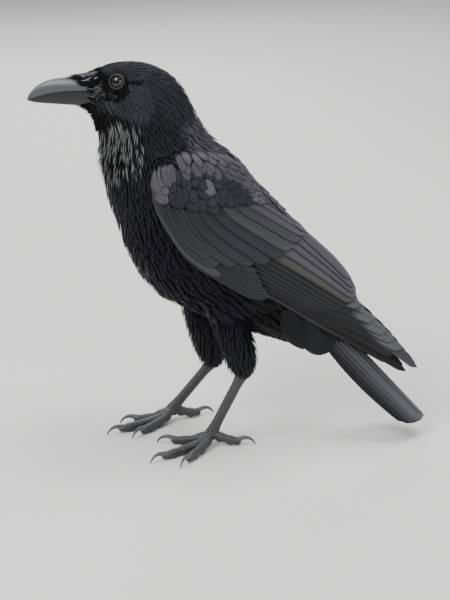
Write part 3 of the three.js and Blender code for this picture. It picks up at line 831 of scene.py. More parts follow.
def smallCovertSet(chart, rng):
    back = lambda key, along: np.interp(along, (-6, 25), smallCoverts[key])
    lowAt = lambda along: np.interp(along, chart["along"], chart["low"])
    roots = np.empty((0, 2))
    for point in rng.uniform(smallCoverts["from"], smallCoverts["to"], (smallCoverts["tries"], 2)):
        gap = ((roots - point) ** 2).sum(axis=1)
        if not len(roots) or gap.min() > back("spacing", point[0]) ** 2:
            roots = np.vstack([roots, point])
    bend = np.radians(np.interp(roots[:, 1], *smallCoverts["bend"]) + rng.normal(0, 4, len(roots)))
    tips = roots + turnedOn(bend, back("length", roots[:, 0]) * rng.uniform(0.85, 1.1, len(roots)))
    tips[:, 1] -= (lowAt(tips[:, 0]) - lowAt(roots[:, 0])) * back("turned", roots[:, 0])
    fits = roots[:, 1] < np.interp(roots[:, 0], chart["along"], chart["girth"]) - smallCoverts["topGap"]
    fits &= tips[:, 1] > np.interp(tips[:, 0], *smallCoverts["end"])
    roots, tips = roots[fits], tips[fits]
    seen = roots * 0.35 + tips * 0.65
    across, up = turnedPlace(seen, *smallCoverts["patch"])
    inPatch = np.abs(across) ** 3 + np.abs(up) ** 3 < 1
    shades = np.where(inPatch[:, None], smallCoverts["patchShade"], smallCoverts["lightShade"])
    pale = np.linalg.norm(seen - smallCoverts["paleSpot"], axis=1).argmin()
    shades[pale] = smallCoverts["lightShade"]
    high = smallCoverts["high"] * rng.uniform(0.8, 1.1, len(roots))
    high[pale] += smallCoverts["paleRise"]
    return {
        "root": roots,
        "tip": tips,
        "half": back("half", roots[:, 0]) * rng.uniform(0.9, 1.1, len(roots)),
        "bow": rng.normal(0, 0.3, len(roots)),
        "low": smallCoverts["low"],
        "high": high,
        "tilt": rng.normal(0, 0.06, len(roots)),
        "camber": 0.22, "thick": 0.12, "follow": 1,
    }, shades


def scapularSet(chart, rng):
    roots, lengths, highs = [], [], []
    for k, count in enumerate(scapularRows["count"]):
        for f in np.linspace(0, 1, count):
            along = scapularRows["starts"][k] * (1 - f) + scapularRows["ends"][k] * f
            top = np.interp(along, chart["along"], chart["girth"])
            roots.append((along, top - scapularRows["depths"][k]) + rng.normal(0, 0.7, 2))
            lengths.append(scapularRows["length"][k] * (0.75 + 0.25 * f) * rng.uniform(0.93, 1.07))
            highs.append(scapularRows["high"] + 0.15 * k)
    roots = np.array(roots)
    bend = np.radians(rng.normal(-3, 3, len(roots)))
    return {
        "root": roots,
        "tip": roots + turnedOn(bend, np.array(lengths)),
        "half": scapularRows["half"] * rng.uniform(0.9, 1.1, len(roots)),
        "bow": rng.normal(0, 0.4, len(roots)),
        "high": highs,
        "low": 0.1, "tilt": 0.1, "camber": 0.4, "thick": 0.15, "follow": 0,
    }, np.tile(scapularRows["lightShade"], (len(roots), 1))


def shaftSet(chart, feathers, width, shades, rng):
    # a shaft over each feather
    tip = feathers["root"] + (feathers["tip"] - feathers["root"]) * 0.97
    shafts = feathers | {"tip": tip, "half": width, "low": feathers["low"] + 0.25,
                         "high": feathers["high"] + 0.12, "tilt": 0, "camber": 0.25}
    return shaftVane, laidOnChart(chart, shaftVane, shafts), vaneShades(shaftVane, shades, rng)


def featherPiece(name, sets, material, slot, *replaced, mirror=False, roots=None):
    # sets of (template, points, shades) made into one piece; each feather has a square of the bake's map, or
    # if there are many small ones a patch at its root
    count = sum(len(points) for _, points, _ in sets)
    side = math.ceil(math.sqrt(count))
    spots, size = (stacked(np.arange(count) % side, np.arange(count) // side) + 0.5) / side, 0.9 / side
    if roots is not None:
        spots, size = (roots + (12, 8)) / (130, 120), 0.003
    meshes = []
    for template, points, shades in sets:
        if mirror:
            points = points * (-1, 1, 1)
            template = template | {"faces": template["faces"][:, ::-1]}
        meshes.append(vaneMesh(template, points, shades, spots, size))
        spots = spots[len(points):]
    finishPiece(name, joined(meshes), material, slot, *replaced)


def growWing(side):
    chart = wingChart()
    mirror = side == "right"
    rng = np.random.default_rng(wingSeeds[side])
    flight = []
    for key, row in wingRows.items():
        root, tip = stacked(*row["root"]), stacked(*row["tip"])
        if mirror:
            tip[tip[:, 0] > farDrop["from"], 1] -= farDrop["up"]
        low, high = (np.linspace(*row[end], len(root)) for end in ("low", "high"))
        feathers = rowBasis | row | {"root": root, "tip": tip, "low": low, "high": high}
        vane = fingerVane if key == "primaries" else bigVane
        shades = vaneShades(vane, row["shades"], rng)
        # the primaries' painted shadow gives way to a paler tone at their tips
        if "unshadedTips" in row:
            share = ease(0.83, 0.88, vane["t"])[:, None]
            shades = shades * (1 - share) + np.array(row["unshadedTips"])[:, None] * share
        for k in row.get("rimmed", ()):
            shades[k, (vane["u"] > 0.9) & (vane["t"] > 0.1)] = row["rim"]
        flight.append((vane, laidOnChart(chart, vane, feathers), shades))
        flight.append(shaftSet(chart, feathers, row["shaft"], np.array(row["shades"]) * 0.7, rng))
    featherPiece(f"flight_{side}", flight, wingMaterial, "wing_feathers", f"wing_secondaries_{side}",
                 f"wing_primaries_{side}", mirror=mirror)
    kinds = [smallCovertSet(chart, rng), scapularSet(chart, rng)]
    covers = [(coverVane, laidOnChart(chart, coverVane, feathers), vaneShades(coverVane, shades, rng, 0.8))
              for feathers, shades in kinds]
    featherPiece(f"coverts_{side}", covers, covertMaterial, "wing_feathers", mirror=mirror,
                 roots=np.concatenate([feathers["root"] for feathers, _ in kinds]))


def growTail():
    chart = tailChart()
    rng = np.random.default_rng(tailRow["seed"])
    rank = np.repeat(range(5, -1, -1), 2)  # 0 for the middle pair, which lies on top
    sign = np.tile([-1, 1], 6)
    across = np.array(tailRow["across"])[rank] * sign
    feathers = {
        "root": stacked(tailRow["root"], across * tailRow["rootSpread"]),
        "tip": stacked(np.array(tailRow["tips"])[rank], across * tailRow["tipSpread"]),
        "half": np.where(rank == 0, tailRow["half"] * 0.95, tailRow["half"]),
        "bow": sign * rank * 0.9,
        "low": -0.4 - rank * 0.55,
        "high": -0.2 - rank * 0.42 + 0.05 * sign,
        "tilt": sign * 0.35,
        "camber": 0.5, "thick": 0.25, "follow": 0,
    }
    shades = np.array(tailRow["shades"])[rank]
    vanes = bigVane, laidOnChart(chart, bigVane, feathers), vaneShades(bigVane, shades, rng)
    shafts = shaftSet(chart, feathers, tailRow["shaft"], shades * 0.6, rng)
    featherPiece("tail_feathers", [vanes, shafts], wingMaterial, "tail_feathers", "tail")


# Bill: two halves from inside the face to the tip, with a ridge above and cutting edges between them
bill = {"base": -109.5, "length": 54.8, "inside": 5, "lowerReach": 0.985, "lowerWidth": 0.93}


def billLines(s):
    # half width, and heights of the ridge, the cutting edge and the keel, at a share of the bill's length
    s = np.clip(s, 0, 1)
    return (0.5 + 8.5 * (1 - s) ** 0.6, 301.2 + 19.3 * (1 - s ** 4) ** 0.72, 310.3 - 9.8 * s ** 2.8,
            296.4 + 3.2 * s ** 1.5)


def makeBill(name, upper):
    reach = 1 if upper else bill["lowerReach"]
    start = -bill["inside"] / bill["length"]

    def shape(u, v):
        s = start + (reach - start) * (1 - (1 - v) ** 1.3)
        out, rise = math.cos(u * 2 * math.pi), math.sin(u * 2 * math.pi)
        width = billLines(s / reach)[0] * math.copysign(abs(out) ** 0.8, out)
        _, ridge, edge, keel = billLines(s)
        if upper:
            height = edge + (ridge - edge) * (rise ** 0.92 if rise > 0 else -0.3 * rise)
            width *= 1 - 0.1 * max(rise, 0) ** 2
        else:
            depth = (edge - keel) * math.sqrt(max(1 - (max(s - 0.86, 0) / 0.126) ** 2, 0))
            height = edge + (0.12 * rise * depth if rise >= 0 else -0.3 - depth * (-rise) ** 0.85)
            width *= bill["lowerWidth"]
        return width, bill["base"] - bill["length"] * s, height

    mesh = tubeOf(48, 80, shape)
    _, y, z = coordsOf(mesh).T
    s = (bill["base"] - y) / bill["length"]
    _, ridge, edge, keel = billLines(s)
    if upper:
        high = (z - edge) / np.maximum(ridge - edge, 0.5)
        # lighter towards the ridge, a painted highlight; also a pale strip along the cutting edge
        shade, gain = tone(73, 75, 78), 1 + 0.5 * ease(0.55, 1, high) + 0.25 * (1 - ease(0.02, 0.1, high))
    else:
        low = (edge - z) / np.maximum(edge - keel, 0.5)
        # painted shade: darker along the top, under the upper half's cutting edge; a little lighter towards
        # the tip
        shade, gain = tone(19, 19, 22), (1 + 0.2 * ease(0.2, 0.9, s)) * (0.2 + 0.8 * ease(0.02, 0.1, low))
    paintPoints(mesh, gain[:, None] * shade)
    finishPiece(name + "_horn", placed(mesh), hornMaterial, "bill", name)


# Eyes: a ball with its iris and pupil, in lids that close it round to an oval opening
eyelid = {
    "axis": (0.93, -0.26, 0.26),
    "opening": (4.7, 0.35),  # radius, and how much longer than high
    "skirt": 8.1,  # radius of its outer edge, which lies just under the skin
    "ridge": (5.9, 0.36, 0.34),  # radius, half width and height of the pale ring
    "thick": 0.5,
    "over": 0.25,  # the ball, at the rim
    "bulge": 0.35,
    "creases": (0.07, 40),  # rise and number
    "segments": 72,
    "shade": (0.005, 0.005, 0.006),
    "ridgeShade": (0.052, 0.053, 0.058),  # added to it
}
iris = {
    "inner": 19,  # degrees from the axis
    "outer": 38,
    "shade": (0.012, 0.007, 0.0045),  # added to that of the pupil
    "pupilShade": (0.0015, 0.0015, 0.002),
}


def makeEye(name, side):
    axis = unit(np.array(eyelid["axis"]) * (side, 1, 1))
    ahead = unit(np.cross(axis, np.cross((0, -1, 0), axis)))
    cross = np.cross(axis, ahead)
    middle = np.array(eye["middle"]) * (side, 1, 1)
    bm = bmesh.new()
    bmesh.ops.create_uvsphere(bm, u_segments=48, v_segments=36, radius=eye["radius"])
    ball = meshFrom(bm)
    local = coordsOf(ball)
    off = np.degrees(np.arccos(np.clip(local[:, 2] / eye["radius"], -1, 1)))
    share = ease(iris["inner"] - 1, iris["inner"] + 1, off)
    share *= 1 - ease(iris["outer"] - 5, iris["outer"], off)
    paintPoints(ball, share[:, None] * iris["shade"] + iris["pupilShade"])
    placed(ball, local @ np.array([ahead, cross, axis]) + middle)
    finishPiece(f"eyeball_{name}", ball, eyeMaterial, "eye", f"eye_{name}")

    around = eyelid["segments"]
    angles = np.linspace(0, 2 * math.pi, around + 1)
    rays = np.outer(np.cos(angles), ahead) + np.outer(np.sin(angles), cross * side)
    skirts = []
    for ray in rays:
        hit = skinTree.ray_cast(middle + ray * eyelid["skirt"] + axis * 14, -axis, 20)[0]
        skirts.append(np.dot(hit - Vector(middle), axis) - 0.4 if hit else 1.6)
    size, longer = eyelid["opening"]
    ridge, ridgeHalf, ridgeRise = eyelid["ridge"]
    rims = size + longer * np.cos(2 * angles)
    rimHeights = np.sqrt(eye["radius"] ** 2 - rims ** 2) + 0.1
    crease, creaseCount = eyelid["creases"]

    def shape(u, v):
        i = round(u * around)
        f = 1 - abs(2 * v - 1)
        radius = rims[i] + (eyelid["skirt"] - rims[i]) * f
        height = rimHeights[i] + eyelid["over"] + (skirts[i] - rimHeights[i]) * f ** 1.25
        height += math.sin(math.pi * min(f * 1.15, 1)) * eyelid["bulge"]
        height += ridgeRise * math.exp(-((radius - ridge) / ridgeHalf) ** 2)
        height += crease * math.sin(angles[i] * creaseCount) * math.sin(f * math.pi)
        if v > 0.5:
            height -= eyelid["thick"] * min(f * 6, 1) ** 0.5 * min((1 - f) * 6, 1)
        return middle + rays[i] * radius + axis * height

    lid = tubeOf(around, 24, shape)
    off = np.linalg.norm(np.cross(coordsOf(lid) - middle, axis), axis=1)
    pale = np.exp(-((off - ridge) / ridgeHalf) ** 2)[:, None]
    paintPoints(lid, pale * eyelid["ridgeShade"] + eyelid["shade"])
    finishPiece(f"eyelids_{name}", placed(lid), lidMaterial, "leg_skin")


# Bristles over the root of the bill, rictal bristles at the gape and the long feathers of the throat
bristles = {
    "count": 430,
    "seed": 41,
    "spread": 66,  # degrees from the ridge of the bill
    "paleSpread": 50,
    "length": (9, 20),
    "width": (1.0, 1.8),
    "start": (-100.5, -114.5),
    "rise": (0.4, 2.6),
    "spray": (0.9, 0, 0.54),  # how far the tips stray
    "thick": 0.2,
    "steps": 7,
    "paleShare": 0.62,
    "dark": tone(9, 9, 10),
    "pale": tone(128, 129, 132),
}
face = {
    "count": 460,
    "turns": (56, 150),  # degrees round the bill from its ridge
    "start": (-107, -99),
    "length": (4.5, 10),
    "rise": (0.1, 0.6),
    "width": (1.0, 1.7),
    "thick": 0.16,
    "steps": 4,
    "dark": tone(10, 10, 10),
    "pale": tone(88, 89, 90),
    "paleShare": 0.36,
    "chinCount": 900,
    "chin": [(-127, 297.5), (-124.6, 296.6), (-118.8, 293), (-112.4, 286.2), (-109, 279), (-107.2, 273)],
    "chinSides": -108,  # Y that the tuft reaches at its sides; "chin" is its middle line
    "chinRoot": (-103.5, 301, 19),  # Y and Z of the highest roots, and how far down the others go
    "gains": (0.7, 1.3),
    "seed": 47,
}
hackles = {
    "patch": ((-88, 270), (19, 25), -20),  # of their roots: middle Y and Z, half sizes, turn
    "spacing": 1.75,
    "tries": 16000,
    "length": (13, 21),
    "width": (2.0, 3.2),
    "lift": (2.3, 3.9),
    "wobble": 0.07,
    "thick": 0.3,
    "steps": 6,
    "darkShare": 0.2,
    "dark": tone(12, 12, 12),
    "light": tone(96, 98, 98),
    "seed": 43,
}
gapeHeight = billLines(0)[2]


def overBill(angle, y):
    # points on the bill at an angle round it from its ridge
    width, ridge, edge, keel = billLines((bill["base"] - y) / bill["length"])
    rise = np.cos(angle)
    deep = np.where(rise > 0, ridge - edge, edge - keel)
    return stacked(width * np.sin(angle) * 0.96, y, edge + np.sign(rise) * deep * np.abs(rise) ** 0.9)


def faceReach(axis, out):
    # how far the skin is from the bill's middle line each way, or 0 ahead of the face
    gaps = [skinTree.ray_cast(start, way, 40)[3] for start, way in zip(axis + out * 40, -out)]
    return np.array([0 if gap is None else 40 - gap for gap in gaps])


def forwardLines(angle, start, length, steps, rise):
    # lines that leave the face, pass over its edge and lie along the bill
    out = stacked(np.sin(angle), 0, np.cos(angle))
    stations = []
    for step in np.linspace(0, 1, steps + 1):
        y = start - length * step
        axis = stacked(0, y, gapeHeight)
        over = overBill(angle, y)
        reach = faceReach(axis, out)
        if step == 0:
            rootReach = reach
        onFace = axis + out * np.maximum(rootReach, np.linalg.norm(over - axis, axis=1))[:, None]
        share = ease(0, 0.65, step)
        lifted = rise * math.sin(math.pi * step ** 0.8) + 0.3
        place = onFace * (1 - share) + over * share + out * lifted[:, None]
        if step > 0:
            short = reach + 0.5 - ((place - axis) * out).sum(axis=1)
            place += out * np.maximum(short, 0)[:, None]
        stations.append(place)
    return np.stack(stations, axis=1), np.repeat(out[:, None], steps + 1, axis=1)


def faceSpots(roots):
    # where each root lies on the face unrolled round the bill
    turn = np.arctan2(roots[:, 0], roots[:, 2] - gapeHeight) / (2 * math.pi)
    return stacked(0.5 + turn * 0.96, (roots[:, 1] + 132) / 40)


def growBristles():
    rng = np.random.default_rng(bristles["seed"])
    count = bristles["count"]
    turn = np.radians(bristles["spread"]) * np.linspace(-1, 1, count) + rng.normal(0, 0.05, count)
    top = np.cos(turn)
    first, last = bristles["start"]
    start = first + (last - first) * rng.random(count) * (0.3 + 0.7 * top)
    length = rng.uniform(*bristles["length"], count) * (0.7 + 0.3 * top)
    rise = rng.uniform(*bristles["rise"], count) * (0.4 + 0.6 * top)
    stations, normals = forwardLines(turn, start, length, bristles["steps"], rise)
    steps = np.linspace(0, 1, bristles["steps"] + 1)[:, None]
    stations = stations + rng.normal(0, 1, (count, 1, 3)) * bristles["spray"] * steps ** 1.5
    width = rng.uniform(*bristles["width"], count)
    pale = (rng.random(count) < bristles["paleShare"]) & (np.abs(turn) < math.radians(bristles["paleSpread"]))
    fleck = np.exp(-((bristleVane["t"] - rng.uniform(0.3, 0.8, (count, 1))) / 0.24) ** 2) * pale[:, None]
    paler = np.subtract(bristles["pale"], bristles["dark"])
    shades = bristles["dark"] + paler * fleck[..., None] * rng.uniform(0.7, 1.3, (count, 1, 1))
    lines = stations, normals
    mesh = tufts(bristleVane, lines, width, bristles["thick"], shades, faceSpots(stations[:, 0]), 0.15)
    finishPiece("bristles", mesh, coatMaterial, "bristles", "nasal_bristles")


def growFaceFeathers():
    # short feathers that point forwards over the root of the bill, and the tuft under the chin
    rng = np.random.default_rng(face["seed"])
    count, chinCount = face["count"], face["chinCount"]
    side = rng.choice([-1, 1], count)
    turn, start, length, rise = (rng.uniform(*face[key], count)
                                 for key in ("turns", "start", "length", "rise"))
    gape, gapeNormals = forwardLines(np.radians(turn) * side, start, length, face["steps"], rise)
    steps = np.linspace(0, 1, face["steps"] + 1)[:, None]
    q = rng.random(chinCount)
    across = rng.uniform(-1, 1, chinCount)
    share = across ** 2
    tipY, tipZ = between(q * (len(face["chin"]) - 1), range(len(face["chin"])), face["chin"]).T
    tips = stacked(across * (8 - 2 * q), tipY * (1 - share) + face["chinSides"] * share, tipZ + share)
    tips += rng.normal(0, 0.4, tips.shape)
    rootY, rootTop, rootsDeep = face["chinRoot"]
    roots = stacked(across * (10 - q), rootY, rootTop - q * rootsDeep)
    outward = unit(stacked(across, -0.3 - 0.6 * q, -0.8))[:, None]
    chin = roots[:, None] * (1 - steps) + tips[:, None] * steps + outward * np.sin(steps * math.pi) * 0.7
    stations = np.concatenate([gape, chin])
    normals = np.concatenate([gapeNormals, np.repeat(outward, len(steps), axis=1)])
    width = rng.uniform(*face["width"], len(stations))
    pale = (rng.random(len(stations)) < face["paleShare"]) & (np.arange(len(stations)) < count)
    shades = np.where(pale[:, None], face["pale"], face["dark"])
    shades = shades * rng.uniform(*face["gains"], (len(stations), 1))
    lines = stations, normals
    mesh = tufts(bristleVane, lines, width, face["thick"], shades, faceSpots(stations[:, 0]))
    finishPiece("face_feathers", mesh, coatMaterial, "bristles")


def growHackles():
    rng = np.random.default_rng(hackles["seed"])
    inPatch = lambda points: patchShare(points, *hackles["patch"]) > 0.5
    spacing = lambda points: np.full(len(points), hackles["spacing"])
    roots = scattered(spacing, inPatch, hackles["tries"], hackles["seed"])
    count = len(roots)
    length = rng.uniform(*hackles["length"], count)
    width = rng.uniform(*hackles["width"], count)
    ahead = 1 - ease(4, 16, np.abs(roots[:, 0]))
    lift = rng.uniform(*hackles["lift"], count) * (1 + 0.9 * ahead * rng.random(count))
    wobble = rng.normal(0, hackles["wobble"], (count, 3))
    lines = marched(roots, length, hackles["steps"], lambda places: bodyWay(places) + wobble, lift)
    dark = rng.random((count, 1)) < hackles["darkShare"]
    shades = np.where(dark, hackles["dark"], hackles["light"]) * rng.uniform(0.75, 1.3, (count, 1))
    # much darker towards the roots: painted shade under the hackles that lie over them
    shades = shades[:, None] * (0.15 + 0.85 * ease(0.05, 0.6, bristleVane["t"]))[:, None]
    mesh = tufts(bristleVane, lines, width, hackles["thick"], shades, bodySpots(roots))
    finishPiece("hackles", mesh, coatMaterial, "plumage")


# Soft feathers of the neck that reach over the front of the wing's coverts
cape = {
    "line": [(33, -67, 264), (31, -53, 270), (28, -41, 274), (21, -29, 278), (10, -20, 283)],
    "back": 11,  # how far up the neck from that line they root
    "count": 660,
    "length": (13, 20),
    "width": (2.2, 3.4),
    "lift": (1.5, 2.4),
    "thick": 0.2,
    "clear": 2.4,  # over the wing
    "near": 9,  # they are lifted where they are no farther than this from it
    "wobble": 0.05,
    "spread": 0.25,  # how far they turn back from the way the coat lies
    "gains": (0.85, 1.15),
    "steps": 6,
    "seed": 71,
}


def growCape():
    rng = np.random.default_rng(cape["seed"])
    wingTree = treeOf(cadCopy(wingFlesh))
    stops = len(cape["line"])
    count = cape["count"]
    roots = between(rng.uniform(0, stops - 1, count), range(stops), cape["line"])
    roots = roots - bodyWay(roots) * rng.uniform(0, cape["back"], (count, 1))
    roots[:, 0] *= np.where(np.arange(count) % 2, 1, -1)
    roots, _ = onSkin(roots)
    length = rng.uniform(*cape["length"], count)
    width = rng.uniform(*cape["width"], count)
    wobble = rng.normal(0, cape["wobble"], (count, 3)) + (0, cape["spread"], 0)
    lift = rng.uniform(*cape["lift"], count)
    way = lambda places: unit(bodyWay(places) + wobble)
    stations, normals = marched(roots, length, cape["steps"], way, lift)
    for k in range(1, cape["steps"] + 1):
        for i, point in enumerate(stations[:, k].tolist()):
            spot, out, _, gap = wingTree.find_nearest(point)
            over = (Vector(point) - spot).dot(out)
            if gap < cape["near"] and over < cape["clear"]:
                stations[i, k] += np.array(out) * (cape["clear"] - over) * min(k / 3, 1)
    stations[:, 1:-1] = (stations[:, :-2] + 2 * stations[:, 1:-1] + stations[:, 2:]) / 4
    shades = markingsAndShade(roots) * rng.uniform(*cape["gains"], (count, 1))
    mesh = tufts(softVane, (stations, normals), width, cape["thick"], shades, bodySpots(roots))
    finishPiece("coat_cape", mesh, coatMaterial, "plumage")


# Legs: tarsus and toes with plates in front and small scales behind, and hooked claws. Each toe has its
# heading in degrees and its length.
legs = {
    "left": {
        "foot": (27.5, -11.5, 12.5),
        "ankle": (27.5, 13.8, 65),
        "toes": {"inner": (-4, 48), "middle": (38, 66), "outer": (62, 56), "hind": (180, 38)},
    },
    "right": {
        "foot": (-27.5, -46.5, 12),
        "ankle": (-27.4, -13.5, 54),
        "toes": {"outer": (12, 48), "middle": (33, 68), "inner": (52, 56), "hind": (202, 39)},
    },
}
leg = {
    "faces": {"tarsus": (40, 150), "toe": (36, 130), "claw": (20, 48)},  # round and along
    "tarsus": (3.1, 4.0),  # half width and half depth
    "tarsusRuns": (2.5, 8, 7),  # how far it goes below the foot, straight up from it and past the ankle
    "swells": [(0.30, 0, 8), (0.25, 0.9, 6)],  # of the tarsus: how much, how far up it and how long
    "keel": (0.12, 0.5),  # along its back: how much and how wide
    "toe": (4.4, 3.5),  # radius at the base and the end
    "toeWidth": 0.94,  # of the depth
    "toeRoot": (-1.5, -2.2),  # run, and height from the foot's
    "toeLine": [(4, 9.3), (9, 7.2), (19, 4.3)],  # run and height
    "toeEnd": (1.5, 3.7),  # run past the root of the claw, and height
    "pad": 11,
    "padSwell": 0.15,
    "plate": 2.6,
    "tarsusPlate": 4.4,
    "plateRise": 0.42,
    "groove": 0.2,  # depth
    "bead": (0.13, 1.7, 11),  # rise, length and number round the leg
    "claw": 14,
    "clawRadius": (3.0, 0.5),
    "clawWidth": 0.72,  # of the depth
    "clawLine": [(-4, 4.6), (0.5, 5.9), (5, 7.1), (9.2, 6.2), (12.3, 3.6), (13.8, 1.0)],  # run and height
}


def smoothLine(stops, count):
    # an evenly spaced smooth line through the stops
    padded = np.vstack([2 * stops[0] - stops[1], stops, 2 * stops[-1] - stops[-2]])
    t = np.linspace(0, len(stops) - 1, 20 * len(stops))
    i = np.minimum(t.astype(int), len(stops) - 2)
    f = (t - i)[:, None]
    a, b, c, d = (padded[i + k] for k in range(4))
    fine = b + 0.5 * f * (c - a + f * (2 * a - 5 * b + 4 * c - d + f * (3 * b - a - 3 * c + d)))
    run = np.pad(np.cumsum(np.linalg.norm(np.diff(fine, axis=0), axis=1)), (1, 0))
    return between(np.linspace(0, run[-1], count), run, fine), run[-1]


def sweptTube(stops, profile, around, along, upward):
    # a closed tube round a smooth line; profile(run, angle, length) gives its reach across and upwards
    line, length = smoothLine(stops, along + 1)
    ways = unit(np.gradient(line, axis=0))
    sides = unit(np.cross(ways, upward))
    ups = np.cross(sides, ways)
    run = np.linspace(0, length, along + 1)[:, None]
    across, height = profile(run, np.linspace(0, 2 * math.pi, around + 1), length)
    grid = line[:, None] + sides[:, None] * across[..., None] + ups[:, None] * height[..., None]
    grid[..., 2] = np.maximum(grid[..., 2], 0)
    return tubeOf(around, along, lambda u, v: grid[round(v * along), round(u * around)], length / 10)


def fromTop(angle):
    return np.abs((angle + math.pi) % (2 * math.pi) - math.pi)


def scaleRelief(run, angle, plate, edge):
    # overlapping plates above, a groove along their sides and beads elsewhere
    side = fromTop(angle)
    plates = leg["plateRise"] * ((run / plate) % 1) ** 1.5 * (1 - ease(edge - 0.15, edge, side))
    groove = leg["groove"] * np.exp(-((side - edge - 0.05) / 0.09) ** 2)
    rise, long, turns = leg["bead"]
    beads = rise * np.sin(run * 2 * math.pi / long) * np.sin(angle * turns) * ease(edge, edge + 0.3, side)
    return plates - groove + beads


def toeProfile(run, angle, length):
    f = run / length
    base, end = leg["toe"]
    under = ease(1.2, 2.2, fromTop(angle))
    pads = np.cos(f * round(length / leg["pad"]) * 2 * math.pi) * (0.35 + 0.65 * under)
    rounded = np.sqrt(np.clip(1 - (np.clip(f - 0.86, 0, 1) / 0.1405) ** 2, 0, 1))
    radius = (base + (end - base) * f) * (1 + leg["padSwell"] * pads) * rounded
    radius = radius + scaleRelief(run, angle, leg["plate"], 1.25) * (1 - ease(0.9, 0.97, f))
    return radius * np.sin(angle) * leg["toeWidth"], radius * np.cos(angle)


def tarsusProfile(run, angle, length):
    swell = sum((more * np.exp(-((run - length * up) / long) ** 2) for more, up, long in leg["swells"]), 1)
    relief = scaleRelief(length - run, angle, leg["tarsusPlate"], 1.15)
    width, depth = leg["tarsus"]
    keel, keelWidth = leg["keel"]
    keeled = 1 + keel * np.exp(-((math.pi - fromTop(angle)) / keelWidth) ** 2)
    return (width * swell + relief) * np.sin(angle), (depth * swell * keeled + relief) * np.cos(angle)


def clawProfile(run, angle, length):
    f = run / length
    base, tip = leg["clawRadius"]
    radius = (base + (tip - base) * f ** 1.2) * np.where(f > 0.985, 0.5, 1)
    flat = np.where(np.cos(angle) < 0, 0.75, 1)
    return radius * leg["clawWidth"] * np.sin(angle), radius * flat * np.cos(angle)


def makeLeg(name, plan):
    foot, ankle = np.array(plan["foot"]), np.array(plan["ankle"])
    upLeg = unit(ankle - foot)
    below, straight, past = leg["tarsusRuns"]
    stops = [foot - upLeg * below, foot + upLeg * straight, (foot + ankle) / 2, ankle, ankle + upLeg * past]
    faces = leg["faces"]
    flesh = [sweptTube(np.array(stops), tarsusProfile, *faces["tarsus"], (0, -1, 0))]
    claws = []
    rootRun, rootRise = leg["toeRoot"]
    endRun, endHeight = leg["toeEnd"]
    for heading, length in plan["toes"].values():
        angle = math.radians(heading)
        way = np.array([math.sin(angle), -math.cos(angle), 0])
        end = length - leg["claw"]
        toeLine = [(rootRun, foot[2] + rootRise), *leg["toeLine"], (end + endRun, endHeight)]
        clawLine = [(end + run, height) for run, height in leg["clawLine"]]
        toe, claw = (np.array([foot * (1, 1, 0) + way * run + (0, 0, height) for run, height in places])
                     for places in (toeLine, clawLine))
        flesh.append(sweptTube(toe, toeProfile, *faces["toe"], (0, 0, 1)))
        claws.append(sweptTube(claw, clawProfile, *faces["claw"], (0, 0, 1)))
    finishPiece(f"leg_{name}", placed(joined(flesh)), legMaterial, "leg_skin", f"tarsus_{name}",
                *[f"toe_{toe}_{name}" for toe in plan["toes"]])
    finishPiece(f"claws_{name}", placed(joined(claws)), clawMaterial, "claw",
                *[f"claw_{toe}_{name}" for toe in plan["toes"]])


# Materials. A look makes its nodes with node(kind, inputs, settings) and maths(operation, values), and
# returns the inputs of the surface; an input is a value or the output of another node.
def makeMaterial(name, look):
    material = bpy.data.materials.new(name)
    material.use_nodes = True
    tree = material.node_tree

    def fill(made, inputs):
        for key, value in inputs.items():
            if isinstance(value, bpy.types.NodeSocket):
                tree.links.new(value, made.inputs[key])
            else:
                made.inputs[key].default_value = value
        return made.outputs

    def node(kind, inputs, **settings):
        made = tree.nodes.new("ShaderNode" + kind)
        for key, value in settings.items():
            setattr(made, key, value)
        return fill(made, inputs)

    def maths(operation, *values):
        return node("Math", dict(enumerate(values)), operation=operation)[0]

    fill(tree.nodes["Principled BSDF"], look(node, maths))
    return material


def mapped(node, name):
    return node("SeparateXYZ", {"Vector": node("UVMap", {}, uv_map=name)["UV"]})


def shaded(node):
    return node("Attribute", {}, attribute_name="shade")["Color"]


def scaled(node, colour, gain):
    return node("VectorMath", {0: colour, "Scale": gain}, operation="SCALE")[0]


def bumped(node, height, strength, distance):
    return node("Bump", {"Strength": strength, "Distance": distance, "Height": height})[0]


def inObject(node):
    return node("TexCoord", {})["Object"]


def grain(node, scale, stretch=(1, 1, 1)):
    place = node("Mapping", {"Scale": stretch, "Vector": inObject(node)})["Vector"]
    return node("TexNoise", {"Scale": scale, "Detail": 4.0, "Vector": place})["Fac"]


def skinLook(node, maths):
    noise = node("TexNoise", {"Scale": 900, "Vector": inObject(node)})["Fac"]
    return {"Base Color": shaded(node), "Roughness": 0.8, "Specular IOR Level": 0.1,
            "Normal": bumped(node, noise, 0.5, 0.0004)}


def hornLook(node, maths):
    # bill: growth streaks along it and a worn, slightly glossy face; its points carry a painted highlight and
    # shade
    streaks = grain(node, 420, (1, 0.12, 1))
    return {"Base Color": scaled(node, shaded(node), maths("MULTIPLY_ADD", streaks, 0.5, 0.75)),
            "Roughness": maths("MULTIPLY_ADD", streaks, 0.2, 0.26),
            "Normal": bumped(node, streaks, 0.25, 0.0002)}


def clawLook(node, maths):
    darker = maths("SUBTRACT", 1.15, maths("MULTIPLY", mapped(node, "lines")["Y"], 0.25))
    return {"Base Color": scaled(node, tone(84, 85, 88), darker), "Roughness": 0.3,
            "Normal": bumped(node, grain(node, 900), 0.15, 0.0002)}


